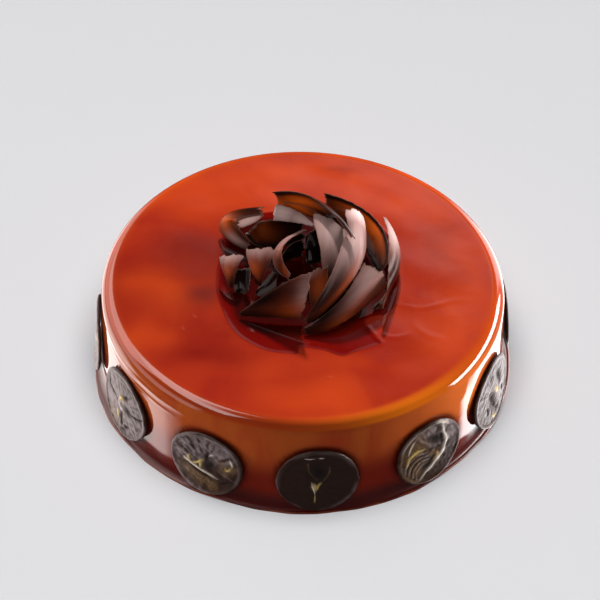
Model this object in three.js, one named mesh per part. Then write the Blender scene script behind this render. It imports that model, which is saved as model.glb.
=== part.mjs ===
// Caramel cake: a round glazed cake with a ring of thin chocolate discs leaning on its side
// and a heap of curved chocolate curls on top.
// Millimetres, +Z up, origin at the middle of the underside. -Y is the side that faces the viewer.

import * as THREE from 'three';

// Driving dimensions of the cake. The top's flat runs into a rounded rim that turns over by
// RIM_TURN degrees, and the wall below it flares out to the shoulder and on to the foot.
const CAKE_HEIGHT = 50;
const FLAT_TOP_RADIUS = 85.7;
const RIM_ROUNDING = 6.2;
const RIM_TURN = 83;
const SHOULDER_RADIUS = 92.6;
const SHOULDER_HEIGHT = 35;
const WALL_FOOT_RADIUS = 93.3;

// The glaze has run down and set as a thin foot round the cake
const FOOT_RADIUS = 96.8;
const FOOT_LIP = 0.8;
const FOOT_SWEEP_HEIGHT = 9;
const FOOT_WAVES = [
  { height: 0.35, count: 5, phase: 0.4 },
  { height: 0.25, count: 11, phase: 2.1 },
];
const CAKE_SIDES = 64;
const CURVE_STEPS = 4;

// Chocolate discs round the side
const DISC_THICKNESS = 1.4;
const DISC_LIP_DEPTH = 0.35;
const DISC_LIP_SHARE = 0.97;
const DISC_FOOT_HEIGHT = 1.4;
const DISC_BEND_RADIUS = 94;
const DISC_SIDES = 24;
const DISC_RINGS = [0.9, 0.7, 0.35];
const DISC_OUTLINE_WAVES = [
  { share: 0.012, count: 2 },
  { share: 0.01, count: 3 },
  { share: 0.006, count: 5 },
];
// azimuth: where a disc stands, in degrees from -Y towards +X. lean: how far its top tips back to
// the cake, in degrees. foot: how far from the cake's middle its back stands.
const DISCS = [
  { azimuth: -87, radius: 17.7, lean: 4.2, foot: 95.45 },
  { azimuth: -57.5, radius: 17.8, lean: 4, foot: 95.35 },
  { azimuth: -26, radius: 17.6, lean: 4.3, foot: 95.5 },
  { azimuth: 5, radius: 18.1, lean: 4.6, foot: 95.75 },
  { azimuth: 37.7, radius: 17.5, lean: 4.5, foot: 95.6 },
  { azimuth: 66.3, radius: 18, lean: 5.6, foot: 96.35 },
  { azimuth: 100, radius: 17.7, lean: 4.5, foot: 95.65 },
  { azimuth: 129, radius: 17.6, lean: 4.2, foot: 95.45 },
  { azimuth: 158, radius: 18, lean: 4.4, foot: 95.65 },
  { azimuth: 187, radius: 17.4, lean: 4.3, foot: 95.45 },
  { azimuth: 216, radius: 17.8, lean: 4.6, foot: 95.75 },
  { azimuth: 244.5, radius: 17.5, lean: 4.8, foot: 95.85 },
];

// Chocolate curls on top
const CURL_THICKNESS = 0.9;
const CURL_ROWS = 11;
const CURL_COLUMNS = 6;
const CURL_LEAST_HALF_WIDTH = 0.25;
const START_TEAR_SHARE = 0.5;
const RAGGED_WAVES = [
  { height: 0.5, turns: 3.9 },
  { height: 0.35, turns: 8.7 },
];

// Each curl is a strip along a bowed spine. spine: its start, middle and end, with heights
// measured from the top of the cake. face: the way its outer side looks at those three places.
// left and right: the strip's width on either side of the spine. cup: how far the strip bends
// across its width at its start and end, in degrees. slant: how much longer its right edge is,
// as a share of the length. notch: a torn bite in the left edge.
const CURLS = [
  {
    name: 'curl_front_right_low',
    spine: [[1.2, -34, 2.2], [18.6, -26.8, 7.4], [34.2, -8.8, 14.8]],
    face: [[0, -0.75, 0.65], [0.47, -0.77, 0.44], [0.47, -0.53, 0.7]],
    left: [1.5, 5.1, 8.2],
    right: [1.5, 6.7, 9.4],
    cup: [80, 90],
    seed: 3,
  },
  {
    name: 'curl_front_right_mid',
    spine: [[1.8, -29.6, 3], [20.8, -8.8, 20.2], [23.2, 25.5, 21]],
    face: [[0, -0.7, 0.7], [0.23, -0.33, 0.81], [0.45, 0.05, 0.9]],
    left: [1.5, 6.5, 5],
    right: [1.5, 5.3, 5],
    cup: [80, 75],
    notch: { at: 0.8, depth: 0.35, reach: 0.1 },
    seed: 4,
  },
  {
    name: 'curl_front_right_top',
    spine: [[9, -19, 4.5], [12.5, -5.5, 17.5], [12.5, 15.5, 23.5]],
    face: [[0, -0.8, 0.6], [0.06, -0.42, 0.8], [0.12, -0.05, 1]],
    left: [1.5, 4.5, 8.5],
    right: [1.5, 5, 9],
    cup: [50, 50],
    slant: -0.12,
    seed: 5,
  },
  {
    name: 'curl_front_right_under',
    spine: [[4.5, -28, 1.8], [19, -14.5, 4.2], [28.5, -1, 7.5]],
    face: [[0.1, -0.3, 0.95], [0.25, -0.35, 0.87], [0.4, -0.4, 0.8]],
    left: [1.5, 3.5, 3.5],
    right: [1.5, 3, 3.5],
    cup: [30, 30],
    seed: 20,
  },
  {
    name: 'curl_front_left',
    spine: [[-28, -24.4, 1.8], [-12.6, -25, 7.8], [1, -26.2, 12.4]],
    face: [[-0.3, -0.75, 0.55], [-0.15, -0.88, 0.45], [-0.05, -0.92, 0.4]],
    left: [1, 7.4, 12.4],
    right: [1, 6.4, 11.5],
    cup: [70, 75],
    slant: -0.17,
    seed: 6,
  },
  {
    name: 'curl_front_inner',
    spine: [[7.2, -22.3, 4.6], [7.4, -16.9, 11.2], [7.6, -10, 17]],
    face: [[0.05, -0.85, 0.5], [0.05, -0.85, 0.5], [0.05, -0.8, 0.6]],
    left: [3, 5, 5.6],
    right: [2.4, 3, 3.4],
    cup: [30, 30],
    slant: 0.1,
    seed: 7,
  },
  {
    name: 'curl_back_hood',
    spine: [[-13.5, 35, 20], [7.5, 25.8, 25.3], [22.5, 1.5, 26.5]],
    face: [[-0.1, 0.95, 0.2], [0.3, 0.8, 0.5], [0.6, 0.5, 0.6]],
    left: [12, 10, -8],
    right: [4, 4.5, 2],
    cup: [62, 62],
    seed: 8,
  },
  {
    name: 'curl_back_mid',
    spine: [[-9.3, 33.1, 16.8], [-1, 30.3, 16.7], [7.8, 25.6, 16.2]],
    face: [[-0.25, 0.95, 0.1], [-0.2, 0.95, 0.1], [-0.2, 0.95, 0.1]],
    left: [1.8, 3.4, 3],
    right: [2, 2.6, 1.6],
    cup: [40, 40],
    seed: 23,
  },
  {
    name: 'curl_back_inner',
    spine: [[-14, 28.4, 15.8], [-5, 26.2, 15.5], [4.3, 22.2, 13.6]],
    face: [[-0.3, -0.3, 0.9], [-0.25, -0.3, 0.92], [-0.2, -0.3, 0.92]],
    left: [4.2, 3.2, 0.6],
    right: [4.2, 3, 0.6],
    cup: [25, 25],
    seed: 9,
  },
  {
    name: 'curl_back_right',
    spine: [[9.5, 44, 11], [31.7, 27.8, 11.5], [38, 3.2, 8]],
    face: [[0.2, 0.95, -0.1], [0.55, 0.7, -0.3], [0.85, 0.35, -0.2]],
    left: [10, 12, 8],
    right: [3, 2.2, 4],
    cup: [70, 70],
    seed: 10,
  },
  {
    name: 'curl_right_rim',
    spine: [[36.8, 29.2, 13.2], [43, 3.8, 9.8], [34.6, -20.5, 2.8]],
    face: [[0.55, 0.3, 0.8], [0.85, 0.1, 0.45], [0.75, 0, -0.65]],
    left: [5, 6.2, 4.5],
    right: [1, 6, 7],
    cup: [90, 80],
    seed: 11,
  },
  {
    name: 'curl_left_back_outer',
    spine: [[-25.2, 18.2, 4.4], [-37, 30, 8.4], [-20, 35, 11.8]],
    face: [[-0.3, -0.85, 0.4], [-0.75, -0.15, 0.65], [-0.15, 0.35, 0.9]],
    left: [4, 5, 5],
    right: [1.6, 7, 6],
    cup: [60, 60],
    seed: 12,
  },
  {
    name: 'curl_left_back_inner',
    spine: [[-25, 24.2, 8], [-15.2, 22, 4.4], [0, 24.8, 5.4]],
    face: [[-0.5, 0.4, -0.7], [0, 0.5, -0.8], [0.3, 0.4, -0.8]],
    left: [5, 5, 2],
    right: [6.4, 10, 8],
    cup: [90, 100],
    seed: 13,
  },
  {
    name: 'flake_left_back',
    spine: [[-20, 25, 16], [-25, 23, 15], [-30, 21.5, 14]],
    face: [[0, -0.2, 1], [0, -0.2, 1], [0, -0.2, 1]],
    left: [0.6, 2, 2],
    right: [0.6, 2, 2],
    cup: [20, 20],
    seed: 22,
  },
  {
    name: 'curl_left_front_outer',
    spine: [[-33, -7, 1.5], [-34, -3, 8.8], [-33, 4, 11.5]],
    face: [[-0.6, -0.75, 0.2], [-0.5, -0.45, 0.63], [-0.3, -0.1, 0.95]],
    left: [1, 4.5, 6.5],
    right: [1, 4, 6.2],
    cup: [70, 60],
    seed: 14,
  },
  {
    name: 'curl_left_cup',
    spine: [[-26.4, -11, 1.8], [-26, -4.3, 4.4], [-25.8, 0.2, 6.4]],
    face: [[0.5, 0.6, -0.5], [0.5, 0.65, -0.4], [0.5, 0.7, -0.3]],
    left: [3.5, 4.8, 4],
    right: [4.5, 5.6, 4.2],
    cup: [100, 100],
    seed: 17,
  },
  {
    name: 'curl_left_front_inner',
    spine: [[-20, -8, 4], [-19.7, -5, 13], [-19, 3.2, 17]],
    face: [[-0.3, -0.9, 0.2], [-0.22, -0.55, 0.68], [-0.1, -0.1, 1]],
    left: [2, 6, 7.8],
    right: [1, 3.5, 7.2],
    cup: [60, 60],
    seed: 15,
  },
  {
    name: 'curl_left_low',
    spine: [[-19.2, -13.2, 2.2], [-16.2, -8.3, 4.8], [-14.2, -2.5, 6.8]],
    face: [[-0.5, -0.8, 0.2], [-0.55, -0.75, 0.25], [-0.6, -0.7, 0.3]],
    left: [3, 4.6, 4],
    right: [3, 4, 2.6],
    cup: [50, 50],
    seed: 19,
  },
  {
    name: 'curl_centre_rim',
    spine: [[0, 19, 14], [-11, 5, 15], [-6.5, -8, 11]],
    face: [[-0.2, 0.5, 0.85], [-0.6, 0, 0.8], [-0.8, -0.5, 0.3]],
    left: [1.5, 1.5, 1],
    right: [3.5, 6.5, 6],
    cup: [50, 60],
    seed: 16,
  },
  {
    name: 'curl_centre_back',
    spine: [[-12, 2, 6], [-7.5, 11.4, 6.6], [-0.4, 15.2, 6.6]],
    face: [[-0.95, 0.25, 0.1], [-0.7, 0.7, 0.1], [-0.3, 0.95, 0.1]],
    left: [4.5, 5.4, 5.4],
    right: [3.5, 5, 6],
    cup: [20, 20],
    seed: 21,
  },
  {
    name: 'curl_centre_front',
    spine: [[-12.8, -13.2, 1.8], [-8, -10.5, 4], [-2, -10.5, 4.6]],
    face: [[-0.2, -0.5, 0.85], [-0.1, -0.5, 0.85], [0, -0.5, 0.85]],
    left: [2, 4, 3.5],
    right: [2, 4, 4],
    cup: [40, 40],
    seed: 24,
  },
  {
    name: 'curl_centre_wall',
    spine: [[5, 8, 3], [5, 15, 7.5], [4, 21.5, 10.8]],
    face: [[0.3, 0.9, 0], [0.3, 0.9, 0.05], [0.3, 0.9, 0.1]],
    left: [4, 5.5, 5.5],
    right: [4, 5, 5],
    cup: [70, 70],
    seed: 18,
  },
];

const glaze = new THREE.MeshStandardMaterial({ color: '#a8320f', roughness: 0.08, metalness: 0 });
const discChocolate = new THREE.MeshStandardMaterial({ color: '#33221c', roughness: 0.4, metalness: 0 });
const curlChocolate = new THREE.MeshStandardMaterial({ color: '#2a1813', roughness: 0.35, metalness: 0 });

function seededRandom(seed) {
  const MODULUS = 2147483647;
  let state = seed * 7919;
  return () => {
    state = (state * 16807) % MODULUS;
    return state / MODULUS;
  };
}

// The value at share t of the quadratic that passes through three values at 0, 1/2 and 1
function throughThree(values, t) {
  const [start, middle, end] = values;
  return start * 2 * (t - 0.5) * (t - 1) - middle * 4 * t * (t - 1) + end * 2 * t * (t - 0.5);
}

function vectorThroughThree(triples, t) {
  const component = (axis) => throughThree(triples.map((triple) => triple[axis]), t);
  return new THREE.Vector3(component(0), component(1), component(2));
}

function makeCake() {
  const profile = new THREE.Path();
  profile.moveTo(0, 0);
  profile.lineTo(FOOT_RADIUS, 0);
  profile.quadraticCurveTo(FOOT_RADIUS, FOOT_LIP, FOOT_RADIUS - FOOT_LIP, FOOT_LIP);
  profile.quadraticCurveTo(WALL_FOOT_RADIUS + FOOT_LIP, FOOT_LIP, WALL_FOOT_RADIUS, FOOT_SWEEP_HEIGHT);
  profile.lineTo(SHOULDER_RADIUS, SHOULDER_HEIGHT);

  // The wall leaves its straight run at the shoulder and bends over to where the rim's arc begins
  const rimAngle = THREE.MathUtils.degToRad(RIM_TURN);
  const rimHeight = CAKE_HEIGHT - RIM_ROUNDING;
  const rimStart = new THREE.Vector2(Math.sin(rimAngle), Math.cos(rimAngle)).multiplyScalar(RIM_ROUNDING);
  rimStart.add(new THREE.Vector2(FLAT_TOP_RADIUS, rimHeight));
  const wallSlope = (WALL_FOOT_RADIUS - SHOULDER_RADIUS) / (SHOULDER_HEIGHT - FOOT_SWEEP_HEIGHT);
  const rimSlope = 1 / Math.tan(rimAngle);
  const wallAtRimStart = SHOULDER_RADIUS - (rimStart.y - SHOULDER_HEIGHT) * wallSlope;
  const bendDrop = (wallAtRimStart - rimStart.x) / (rimSlope - wallSlope);
  const bend = [rimStart.x + bendDrop * rimSlope, rimStart.y - bendDrop];
  profile.quadraticCurveTo(...bend, rimStart.x, rimStart.y);
  profile.absarc(FLAT_TOP_RADIUS, rimHeight, RIM_ROUNDING, Math.PI / 2 - rimAngle, Math.PI / 2, false);
  profile.lineTo(0, CAKE_HEIGHT);
  const geometry = new THREE.LatheGeometry(profile.getPoints(CURVE_STEPS), CAKE_SIDES);

  // The edge of the set glaze runs in and out a little
  const points = geometry.getAttribute('position');
  for (let index = 0; index < points.count; index += 1) {
    const x = points.getX(index);
    const y = points.getY(index);
    const z = points.getZ(index);
    const radius = Math.hypot(x, z);
    if (radius > WALL_FOOT_RADIUS && y <= FOOT_LIP) {
      const angle = Math.atan2(x, z);
      const reach = (radius - WALL_FOOT_RADIUS) / (FOOT_RADIUS - WALL_FOOT_RADIUS);
      let offset = 0;
      for (const wave of FOOT_WAVES) {
        offset += wave.height * Math.sin(wave.count * angle + wave.phase);
      }
      const scale = (radius + offset * reach) / radius;
      points.setXYZ(index, x * scale, y, z * scale);
    }
  }
  const cake = new THREE.Mesh(geometry, glaze);
  cake.name = 'glazed_cake';
  cake.rotation.x = Math.PI / 2;
  return cake;
}

// A disc lies on its back: an uneven outline and a face dished inside a low lip. It is bent a little
// from side to side, as it set against the round wall.
function discGeometry(discRadius, seed) {
  const random = seededRandom(seed);
  const waves = DISC_OUTLINE_WAVES.map((wave) => ({ ...wave, phase: random() * 2 * Math.PI }));
  const outline = (angle) => {
    let share = 1;
    for (const wave of waves) {
      share += wave.share * Math.sin(wave.count * angle + wave.phase);
    }
    return discRadius * share;
  };
  const positions = [];
  const addRing = (share, height) => {
    for (let side = 0; side < DISC_SIDES; side += 1) {
      const angle = (side / DISC_SIDES) * 2 * Math.PI;
      const radius = outline(angle) * share;
      const x = radius * Math.cos(angle);
      const bend = x ** 2 / (2 * DISC_BEND_RADIUS);
      positions.push(x, radius * Math.sin(angle), height - bend);
    }
  };
  const dishHeight = DISC_THICKNESS - DISC_LIP_DEPTH;
  addRing(1, 0);
  addRing(1, dishHeight);
  addRing(DISC_LIP_SHARE, DISC_THICKNESS);
  for (const share of DISC_RINGS) addRing(share, dishHeight);
  const ringCount = positions.length / 3 / DISC_SIDES;
  const backCentre = positions.length / 3;
  positions.push(0, 0, 0);
  const frontCentre = backCentre + 1;
  positions.push(0, 0, dishHeight);

  const indices = [];
  for (let side = 0; side < DISC_SIDES; side += 1) {
    const next = (side + 1) % DISC_SIDES;
    indices.push(backCentre, next, side);
    for (let ring = 0; ring < ringCount - 1; ring += 1) {
      const low = ring * DISC_SIDES;
      const high = low + DISC_SIDES;
      indices.push(low + side, low + next, high + next);
      indices.push(low + side, high + next, high + side);
    }
    const innermost = (ringCount - 1) * DISC_SIDES;
    indices.push(frontCentre, innermost + side, innermost + next);
  }
  return indexedGeometry(positions, indices);
}

function indexedGeometry(positions, indices) {
  const geometry = new THREE.BufferGeometry();
  geometry.setAttribute('position', new THREE.Float32BufferAttribute(positions, 3));
  geometry.setIndex(indices);
  geometry.computeVertexNormals();
  return geometry;
}

// Each disc stands on the foot of glaze and leans its top on the cake's side
function makeDiscs() {
  const ring = new THREE.Group();
  DISCS.forEach(({ azimuth, radius, lean, foot }, index) => {
    const disc = new THREE.Mesh(discGeometry(radius, index + 1), discChocolate);
    disc.name = `disc_${String(index + 1).padStart(2, '0')}`;
    const leanAngle = THREE.MathUtils.degToRad(lean);
    disc.rotation.x = Math.PI / 2 - leanAngle;
    const out = foot - radius * Math.sin(leanAngle);
    const height = DISC_FOOT_HEIGHT + radius * Math.cos(leanAngle);
    disc.position.set(0, -out, height);
    const turn = new THREE.Group();
    turn.rotation.z = THREE.MathUtils.degToRad(azimuth);
    turn.add(disc);
    ring.add(turn);
  });
  return ring;
}

// The offset of a torn end from a straight cut, in millimetres, at share s across the strip
function tornEdge(random) {
  const waves = RAGGED_WAVES.map((wave) => ({ ...wave, phase: random() * 2 * Math.PI }));
  return (s) => waves.reduce((sum, wave) => sum + wave.height * Math.sin(wave.turns * s + wave.phase), 0);
}

// A point of the strip and the way it faces there, at share t along it and s across it
function curlPoint(curl, control, t, s) {
  const [start, , end] = curl.spine.map((point) => new THREE.Vector3(...point));
  const along = new THREE.QuadraticBezierCurve3(start, control, end);
  const place = along.getPoint(t);
  const inside = THREE.MathUtils.clamp(t, 0, 1);
  const direction = control.clone().sub(start).multiplyScalar(1 - t);
  direction.add(end.clone().sub(control).multiplyScalar(t)).normalize();
  const ways = curl.face.map((way) => new THREE.Vector3(...way).normalize().toArray());
  const face = vectorThroughThree(ways, inside);
  face.addScaledVector(direction, -face.dot(direction)).normalize();
  const across = new THREE.Vector3().crossVectors(direction, face);

  let left = Math.max(throughThree(curl.left, inside), CURL_LEAST_HALF_WIDTH);
  const right = Math.max(throughThree(curl.right, inside), CURL_LEAST_HALF_WIDTH);
  if (curl.notch) {
    left *= 1 - curl.notch.depth * Math.exp(-(((inside - curl.notch.at) / curl.notch.reach) ** 2));
  }
  const offset = s * (s > 0 ? right : left);
  const bend = THREE.MathUtils.degToRad(THREE.MathUtils.lerp(...curl.cup, inside)) / (left + right);
  const angle = offset * bend;
  place.addScaledVector(across, Math.sin(angle) / bend);
  place.addScaledVector(face, -(1 - Math.cos(angle)) / bend);
  const normal = face.multiplyScalar(Math.cos(angle)).addScaledVector(across, Math.sin(angle)).normalize();
  return { place, normal };
}

// A curl is a thin closed solid whose two faces are split into triangles alike
function curlGeometry(curl) {
  const [start, middle, end] = curl.spine.map((point) => new THREE.Vector3(...point));
  const control = middle.clone().multiplyScalar(2).addScaledVector(start, -0.5).addScaledVector(end, -0.5);
  const length = start.distanceTo(middle) + middle.distanceTo(end);
  const random = seededRandom(curl.seed);
  const farEdge = tornEdge(random);
  const nearEdge = tornEdge(random);
  const slant = curl.slant ?? 0;
  const outer = [];
  const inner = [];
  for (let row = 0; row <= CURL_ROWS; row += 1) {
    for (let column = 0; column <= CURL_COLUMNS; column += 1) {
      const s = -1 + (2 * column) / CURL_COLUMNS;
      const near = (START_TEAR_SHARE * nearEdge(s)) / length;
      const far = 1 + slant * s + farEdge(s) / length;
      const t = THREE.MathUtils.lerp(near, far, row / CURL_ROWS);
      const { place, normal } = curlPoint(curl, control, t, s);
      outer.push(...place.toArray());
      inner.push(...place.addScaledVector(normal, -CURL_THICKNESS).toArray());
    }
  }

  const layer = (CURL_ROWS + 1) * (CURL_COLUMNS + 1);
  const at = (row, column) => row * (CURL_COLUMNS + 1) + column;
  const indices = [];
  const addEdge = (a, b) => indices.push(a, b, b + layer, a, b + layer, a + layer);
  for (let row = 0; row < CURL_ROWS; row += 1) {
    for (let column = 0; column < CURL_COLUMNS; column += 1) {
      const a = at(row, column);
      const b = at(row + 1, column);
      const c = at(row + 1, column + 1);
      const d = at(row, column + 1);
      indices.push(a, c, b, a, d, c);
      indices.push(a + layer, b + layer, c + layer, a + layer, c + layer, d + layer);
    }
    addEdge(at(row, 0), at(row + 1, 0));
    addEdge(at(row + 1, CURL_COLUMNS), at(row, CURL_COLUMNS));
  }
  for (let column = 0; column < CURL_COLUMNS; column += 1) {
    addEdge(at(0, column + 1), at(0, column));
    addEdge(at(CURL_ROWS, column), at(CURL_ROWS, column + 1));
  }
  return indexedGeometry([...outer, ...inner], indices);
}

function makeCurls() {
  const heap = new THREE.Group();
  heap.position.z = CAKE_HEIGHT;
  for (const curl of CURLS) {
    const mesh = new THREE.Mesh(curlGeometry(curl), curlChocolate);
    mesh.name = curl.name;
    heap.add(mesh);
  }
  return heap;
}

const caramelCake = new THREE.Group();
caramelCake.add(makeCake(), makeDiscs(), makeCurls());

export default caramelCake;
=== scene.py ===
"""Looks for a caramel cake: a mirror-glossy glaze, creased chocolate discs and a heap of chocolate curls.

Metres, +Z up, origin at the middle of the cake's underside. -Y is the side that faces the camera.
"""

import math
import random

import bpy
import numpy as np
from bpy.props import FloatProperty, FloatVectorProperty, IntProperty, PointerProperty
from mathutils import Matrix, Vector


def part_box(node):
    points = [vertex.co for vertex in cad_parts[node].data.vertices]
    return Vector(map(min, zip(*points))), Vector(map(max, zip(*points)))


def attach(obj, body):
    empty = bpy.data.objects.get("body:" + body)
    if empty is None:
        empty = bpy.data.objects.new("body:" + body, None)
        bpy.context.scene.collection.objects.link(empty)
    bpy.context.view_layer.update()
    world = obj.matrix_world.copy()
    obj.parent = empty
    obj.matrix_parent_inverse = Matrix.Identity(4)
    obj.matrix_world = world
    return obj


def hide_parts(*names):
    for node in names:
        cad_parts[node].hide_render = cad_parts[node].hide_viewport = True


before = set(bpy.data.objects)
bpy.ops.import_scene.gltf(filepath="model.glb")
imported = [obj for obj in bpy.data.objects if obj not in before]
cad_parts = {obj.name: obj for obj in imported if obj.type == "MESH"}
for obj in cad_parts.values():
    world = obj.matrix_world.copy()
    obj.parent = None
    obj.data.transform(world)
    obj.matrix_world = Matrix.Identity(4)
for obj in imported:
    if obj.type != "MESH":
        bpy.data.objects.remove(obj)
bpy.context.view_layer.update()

bl_info = {
    "name": "Caramel Cake",
    "version": (1, 0, 0),
    "blender": (4, 5, 0),
    "location": "View3D > Sidebar > Cake",
    "description": "Glazed caramel cake with chocolate discs and a heap of chocolate curls",
    "category": "Add Mesh",
}

MM = 0.001
# How many waves cross in a plain noise
WAVES = 10
# Steps of a smooth curve between two of its given points, along a path and round an outline
PATH_STEPS = 8
OUTLINE_STEPS = 4
CAKE_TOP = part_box("glazed_cake")[1].z

# Rings of points down the glazed cake, from its top over the rim to its foot
TOP_RINGS = 116
RIM_RINGS = 26
SHOULDER_RINGS = 26
WALL_RINGS = 20
SWEEP_RINGS = 16
LIP_RINGS = 5
# First ring of the top and all rings of the underside, as shares of the radius
FIRST_TOP_RING = 0.006
UNDERSIDE_RINGS = (0.985, 0.7, 0.35, 0.01)
# Waves of the set edge of the glaze: height in millimetres, how many go round, and phase
FOOT_WAVES = ((0.35, 5, 0.4), (0.25, 11, 2.1))
FINE_FOOT_WAVES = ((0.12, 23, 0.9), (0.08, 41, 3.3))
# Runs of glaze down the side: height in millimetres, how many go round, and phase
SIDE_RUNS = ((0.16, 7, 0.5), (0.12, 13, 1.9), (0.07, 22, 4.1), (0.04, 37, 2.6))
# How the runs slant, in radians of phase for each metre of height, how far the side is set back to leave
# room for them, in millimetres, and how far below the top they begin and are full, as shares of the rim
# rounding
RUN_SLANT = 30
RUN_ROOM = 0.25
RUN_START = (0.5, 2.2)
# Slow waves over the top: height in millimetres, wavelength in millimetres, direction in degrees
TOP_WAVES = ((0.05, 62, 20), (0.04, 47, 95), (0.03, 33, 150), (0.02, 21, 60))
# How far the top is set down to leave room for its waves, in millimetres, and from which share of the flat
# radius the waves die out
WAVE_ROOM = 0.10
WAVES_END = 0.75
# Tilts of the rim in degrees between which the bright top turns into the brown side
RIM_FADE = (51.0, 63.0)
# Where the painted amber glow of the rim begins and is full, from the edge of the flat top, as shares of the
# rim rounding
AMBER_FADE = (-0.35, 0.5)
# The painted amber glow of the rim is strongest at one azimuth, in degrees, and faint everywhere
GLOW_AZIMUTH = 31.0
GLOW_SPREAD = 21.0
GLOW_EVERYWHERE = 0.15
# Where a painted orange glow lies on the side: azimuth and spread in degrees
SIDE_GLOW = (56.0, 19.0)
# Height in metres below which the side is a deeper red, half the height over which it changes, and the
# waves of that line: height in metres, how many go round, and phase
LOW_WALL = 0.024
LOW_FADE = 0.008
LOW_WAVES = ((0.0012, 3, 0.7), (0.0006, 8, 0.0))
# Heights between which the thick glaze of the foot begins and is full, as shares of the foot sweep, and how
# strong it and the brown line on its lip are
FOOT_FADE = (1.3, 0.3)
FOOT_STRENGTH = 0.95
LIP_STRENGTH = 0.8
# How far in from the edge of the foot that brown line begins and is full, and the height at which it is
# full, as shares of the foot thickness
LIP_LINE = (0.9, 0.2)
LIP_LINE_HEIGHT = 0.4
# Small bubbles set in the glaze: place on the top in millimetres, radius and height
BUBBLES = ((-53.8, -33, 0.9, 0.22), (-49, -25, 0.7, 0.18), (-23.3, -33.2, 0.9, 0.22), (12, -61, 0.6, 0.15))
# Trails left where the glaze was last touched: path on the top in millimetres, width and height
TRAILS = (
    (((36, -11.5), (53, -16), (70, -10.5), (87, -12)), 1.0, 0.05),
    (((32.5, -32), (41, -35), (49, -32)), 1.0, 0.06),
    (((48, -24), (56, -33), (66, -36)), 1.4, 0.05),
)
# Share of a trail that is cut off at each end, before it has faded to nothing
TRAIL_CUT = 0.02
# Clouds in the glaze of the top: kind, place in millimetres, reach along x and along y, and strength
CLOUDS = (
    ("bright", -42, 60, 50, 20, 0.8), ("bright", 36, 67, 45, 20, 0.8), ("bright", 71, 21, 25, 35, 0.7),
    ("bright", 75, -12, 20, 25, 0.95), ("bright", 0, 74, 40, 14, 0.9), ("bright", 54, 54, 25, 22, 0.9),
    ("bright", -60, -8, 24, 13, 0.9), ("bright", -70, -35, 14, 10, 0.7), ("bright", 62, -34, 24, 18, 0.8),
    ("bright", 12, -76, 28, 12, 0.7), ("bright", -23, -51, 20, 12, 0.3), ("bright", 19, -53, 25, 14, 0.3),
    # The first two dull_and_shade clouds, left of the heap, are painted shade of the heap
    ("dull_and_shade", -45, 19, 22, 16, 0.7), ("dull_and_shade", -41, -6, 14, 12, 0.9), ("dull_and_shade", 16, 76, 12, 4, 0.4),
    ("dull_and_shade", 63, 25, 10, 25, 0.4),
    ("deep", -44, -50, 14, 10, 0.8), ("deep", 36, -40, 25, 10, 0.4), ("deep", -83, -9, 10, 18, 0.4),
)
# Waves that pull the clouds out of round: how far and how long, in millimetres, and a seed for x and for y
CLOUD_DRIFT = 5.0
CLOUD_DRIFT_LENGTH = 40
CLOUD_SEEDS = (3, 4)

# Outlines on the top, in millimetres: the painted shadow and reflection of the heap round it, and its
# darkest part, the painted shade under the heap
HEAP_SHADOW_OUTLINE = (
    (-38, 19), (-39.5, 6), (-39.5, -4), (-38.5, -12), (-34.5, -25), (-31.5, -31.5), (-27.5, -37),
    (-19.5, -43), (-14, -45.5), (-7.5, -46.5), (-2, -46.5), (-1, -42.5), (6, -43.5), (10.5, -44.5),
    (17.5, -47.5), (22.5, -45.5), (31.5, -41), (35.5, -39), (34, -36), (28, -26), (31, -22), (37.5, -20.5),
    (41.5, -14), (43.5, 2), (43, 15), (40, 30), (26, 44), (8, 49), (-12, 46), (-28, 42), (-37, 32),
)
HEAP_SHADOW_CORE_OUTLINE = (
    (-36, 10), (-37, 0), (-33, -13), (-30, -25), (-25, -31), (-15, -34.5), (-4, -34.5), (2, -36),
    (10, -35.5), (19, -31), (26, -25), (35, -18), (40, -8), (41, 5), (38, 24), (26, 38), (8, 46),
    (-12, 42), (-27, 38), (-35, 26),
)
# Half width in millimetres over which the painted heap shadow and its darkest part fade out
HEAP_SHADOW_FADE = 0.5
HEAP_SHADOW_CORE_FADE = 2.5
# Low bead along the edge of the painted heap shadow: height and width in millimetres
HEAP_SHADOW_BEAD = (0.06, 0.9)
# Ribbons of glaze that set under the rim: height in millimetres at each end, azimuths of the ends in
# degrees, width in millimetres and rise in millimetres
RIBBONS = (
    (43.5, 41.0, -78, -28, 1.1, 0.22),
    (39.5, 37.0, -70, -36, 0.9, 0.20),
    (36.0, 34.5, -66, -44, 0.8, 0.15),
)

# Discs round the side: azimuth in degrees from -Y towards +X, radius in millimetres, lean in degrees,
# how far the back stands from the cake's middle in millimetres, face, and how far the face is turned
DISCS = (
    (-87.0, 17.7, 4.2, 95.45, "knot", 140),
    (-57.5, 17.8, 4.0, 95.35, "knot", 0),
    (-26.0, 17.6, 4.3, 95.5, "branch", 0),
    (5.0, 18.1, 4.6, 95.75, "fork", 0),
    (37.7, 17.5, 4.5, 95.6, "sweep", 0),
    (66.3, 18.0, 5.6, 96.35, "fleck", 0),
    (100.0, 17.7, 4.5, 95.65, "fork", 75),
    (129.0, 17.6, 4.2, 95.45, "branch", 200),
    (158.0, 18.0, 4.4, 95.65, "sweep", 160),
    (187.0, 17.4, 4.3, 95.45, "fork", 310),
    (216.0, 17.8, 4.6, 95.75, "knot", 250),
    (244.5, 17.5, 4.8, 95.85, "branch", 90),
)
# Painted shade on the glaze round each disc: how far it reaches, in millimetres, and its strength
DISC_SHADOW_REACH = 1.7
DISC_SHADOW_STRENGTH = 0.85
# Rings of a disc's face, steps round it, and its smallest ring as a share of the radius
DISC_RINGS = 54
DISC_STEPS = 184
FIRST_DISC_RING = 0.02
# Rings of a disc's edge and back: share of the radius and height as a share of the thickness
DISC_BACK = ((1.0, 0.55), (1.0, 0.15), (0.985, 0.0), (0.5, 0.0), (0.02, 0.0))
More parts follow.
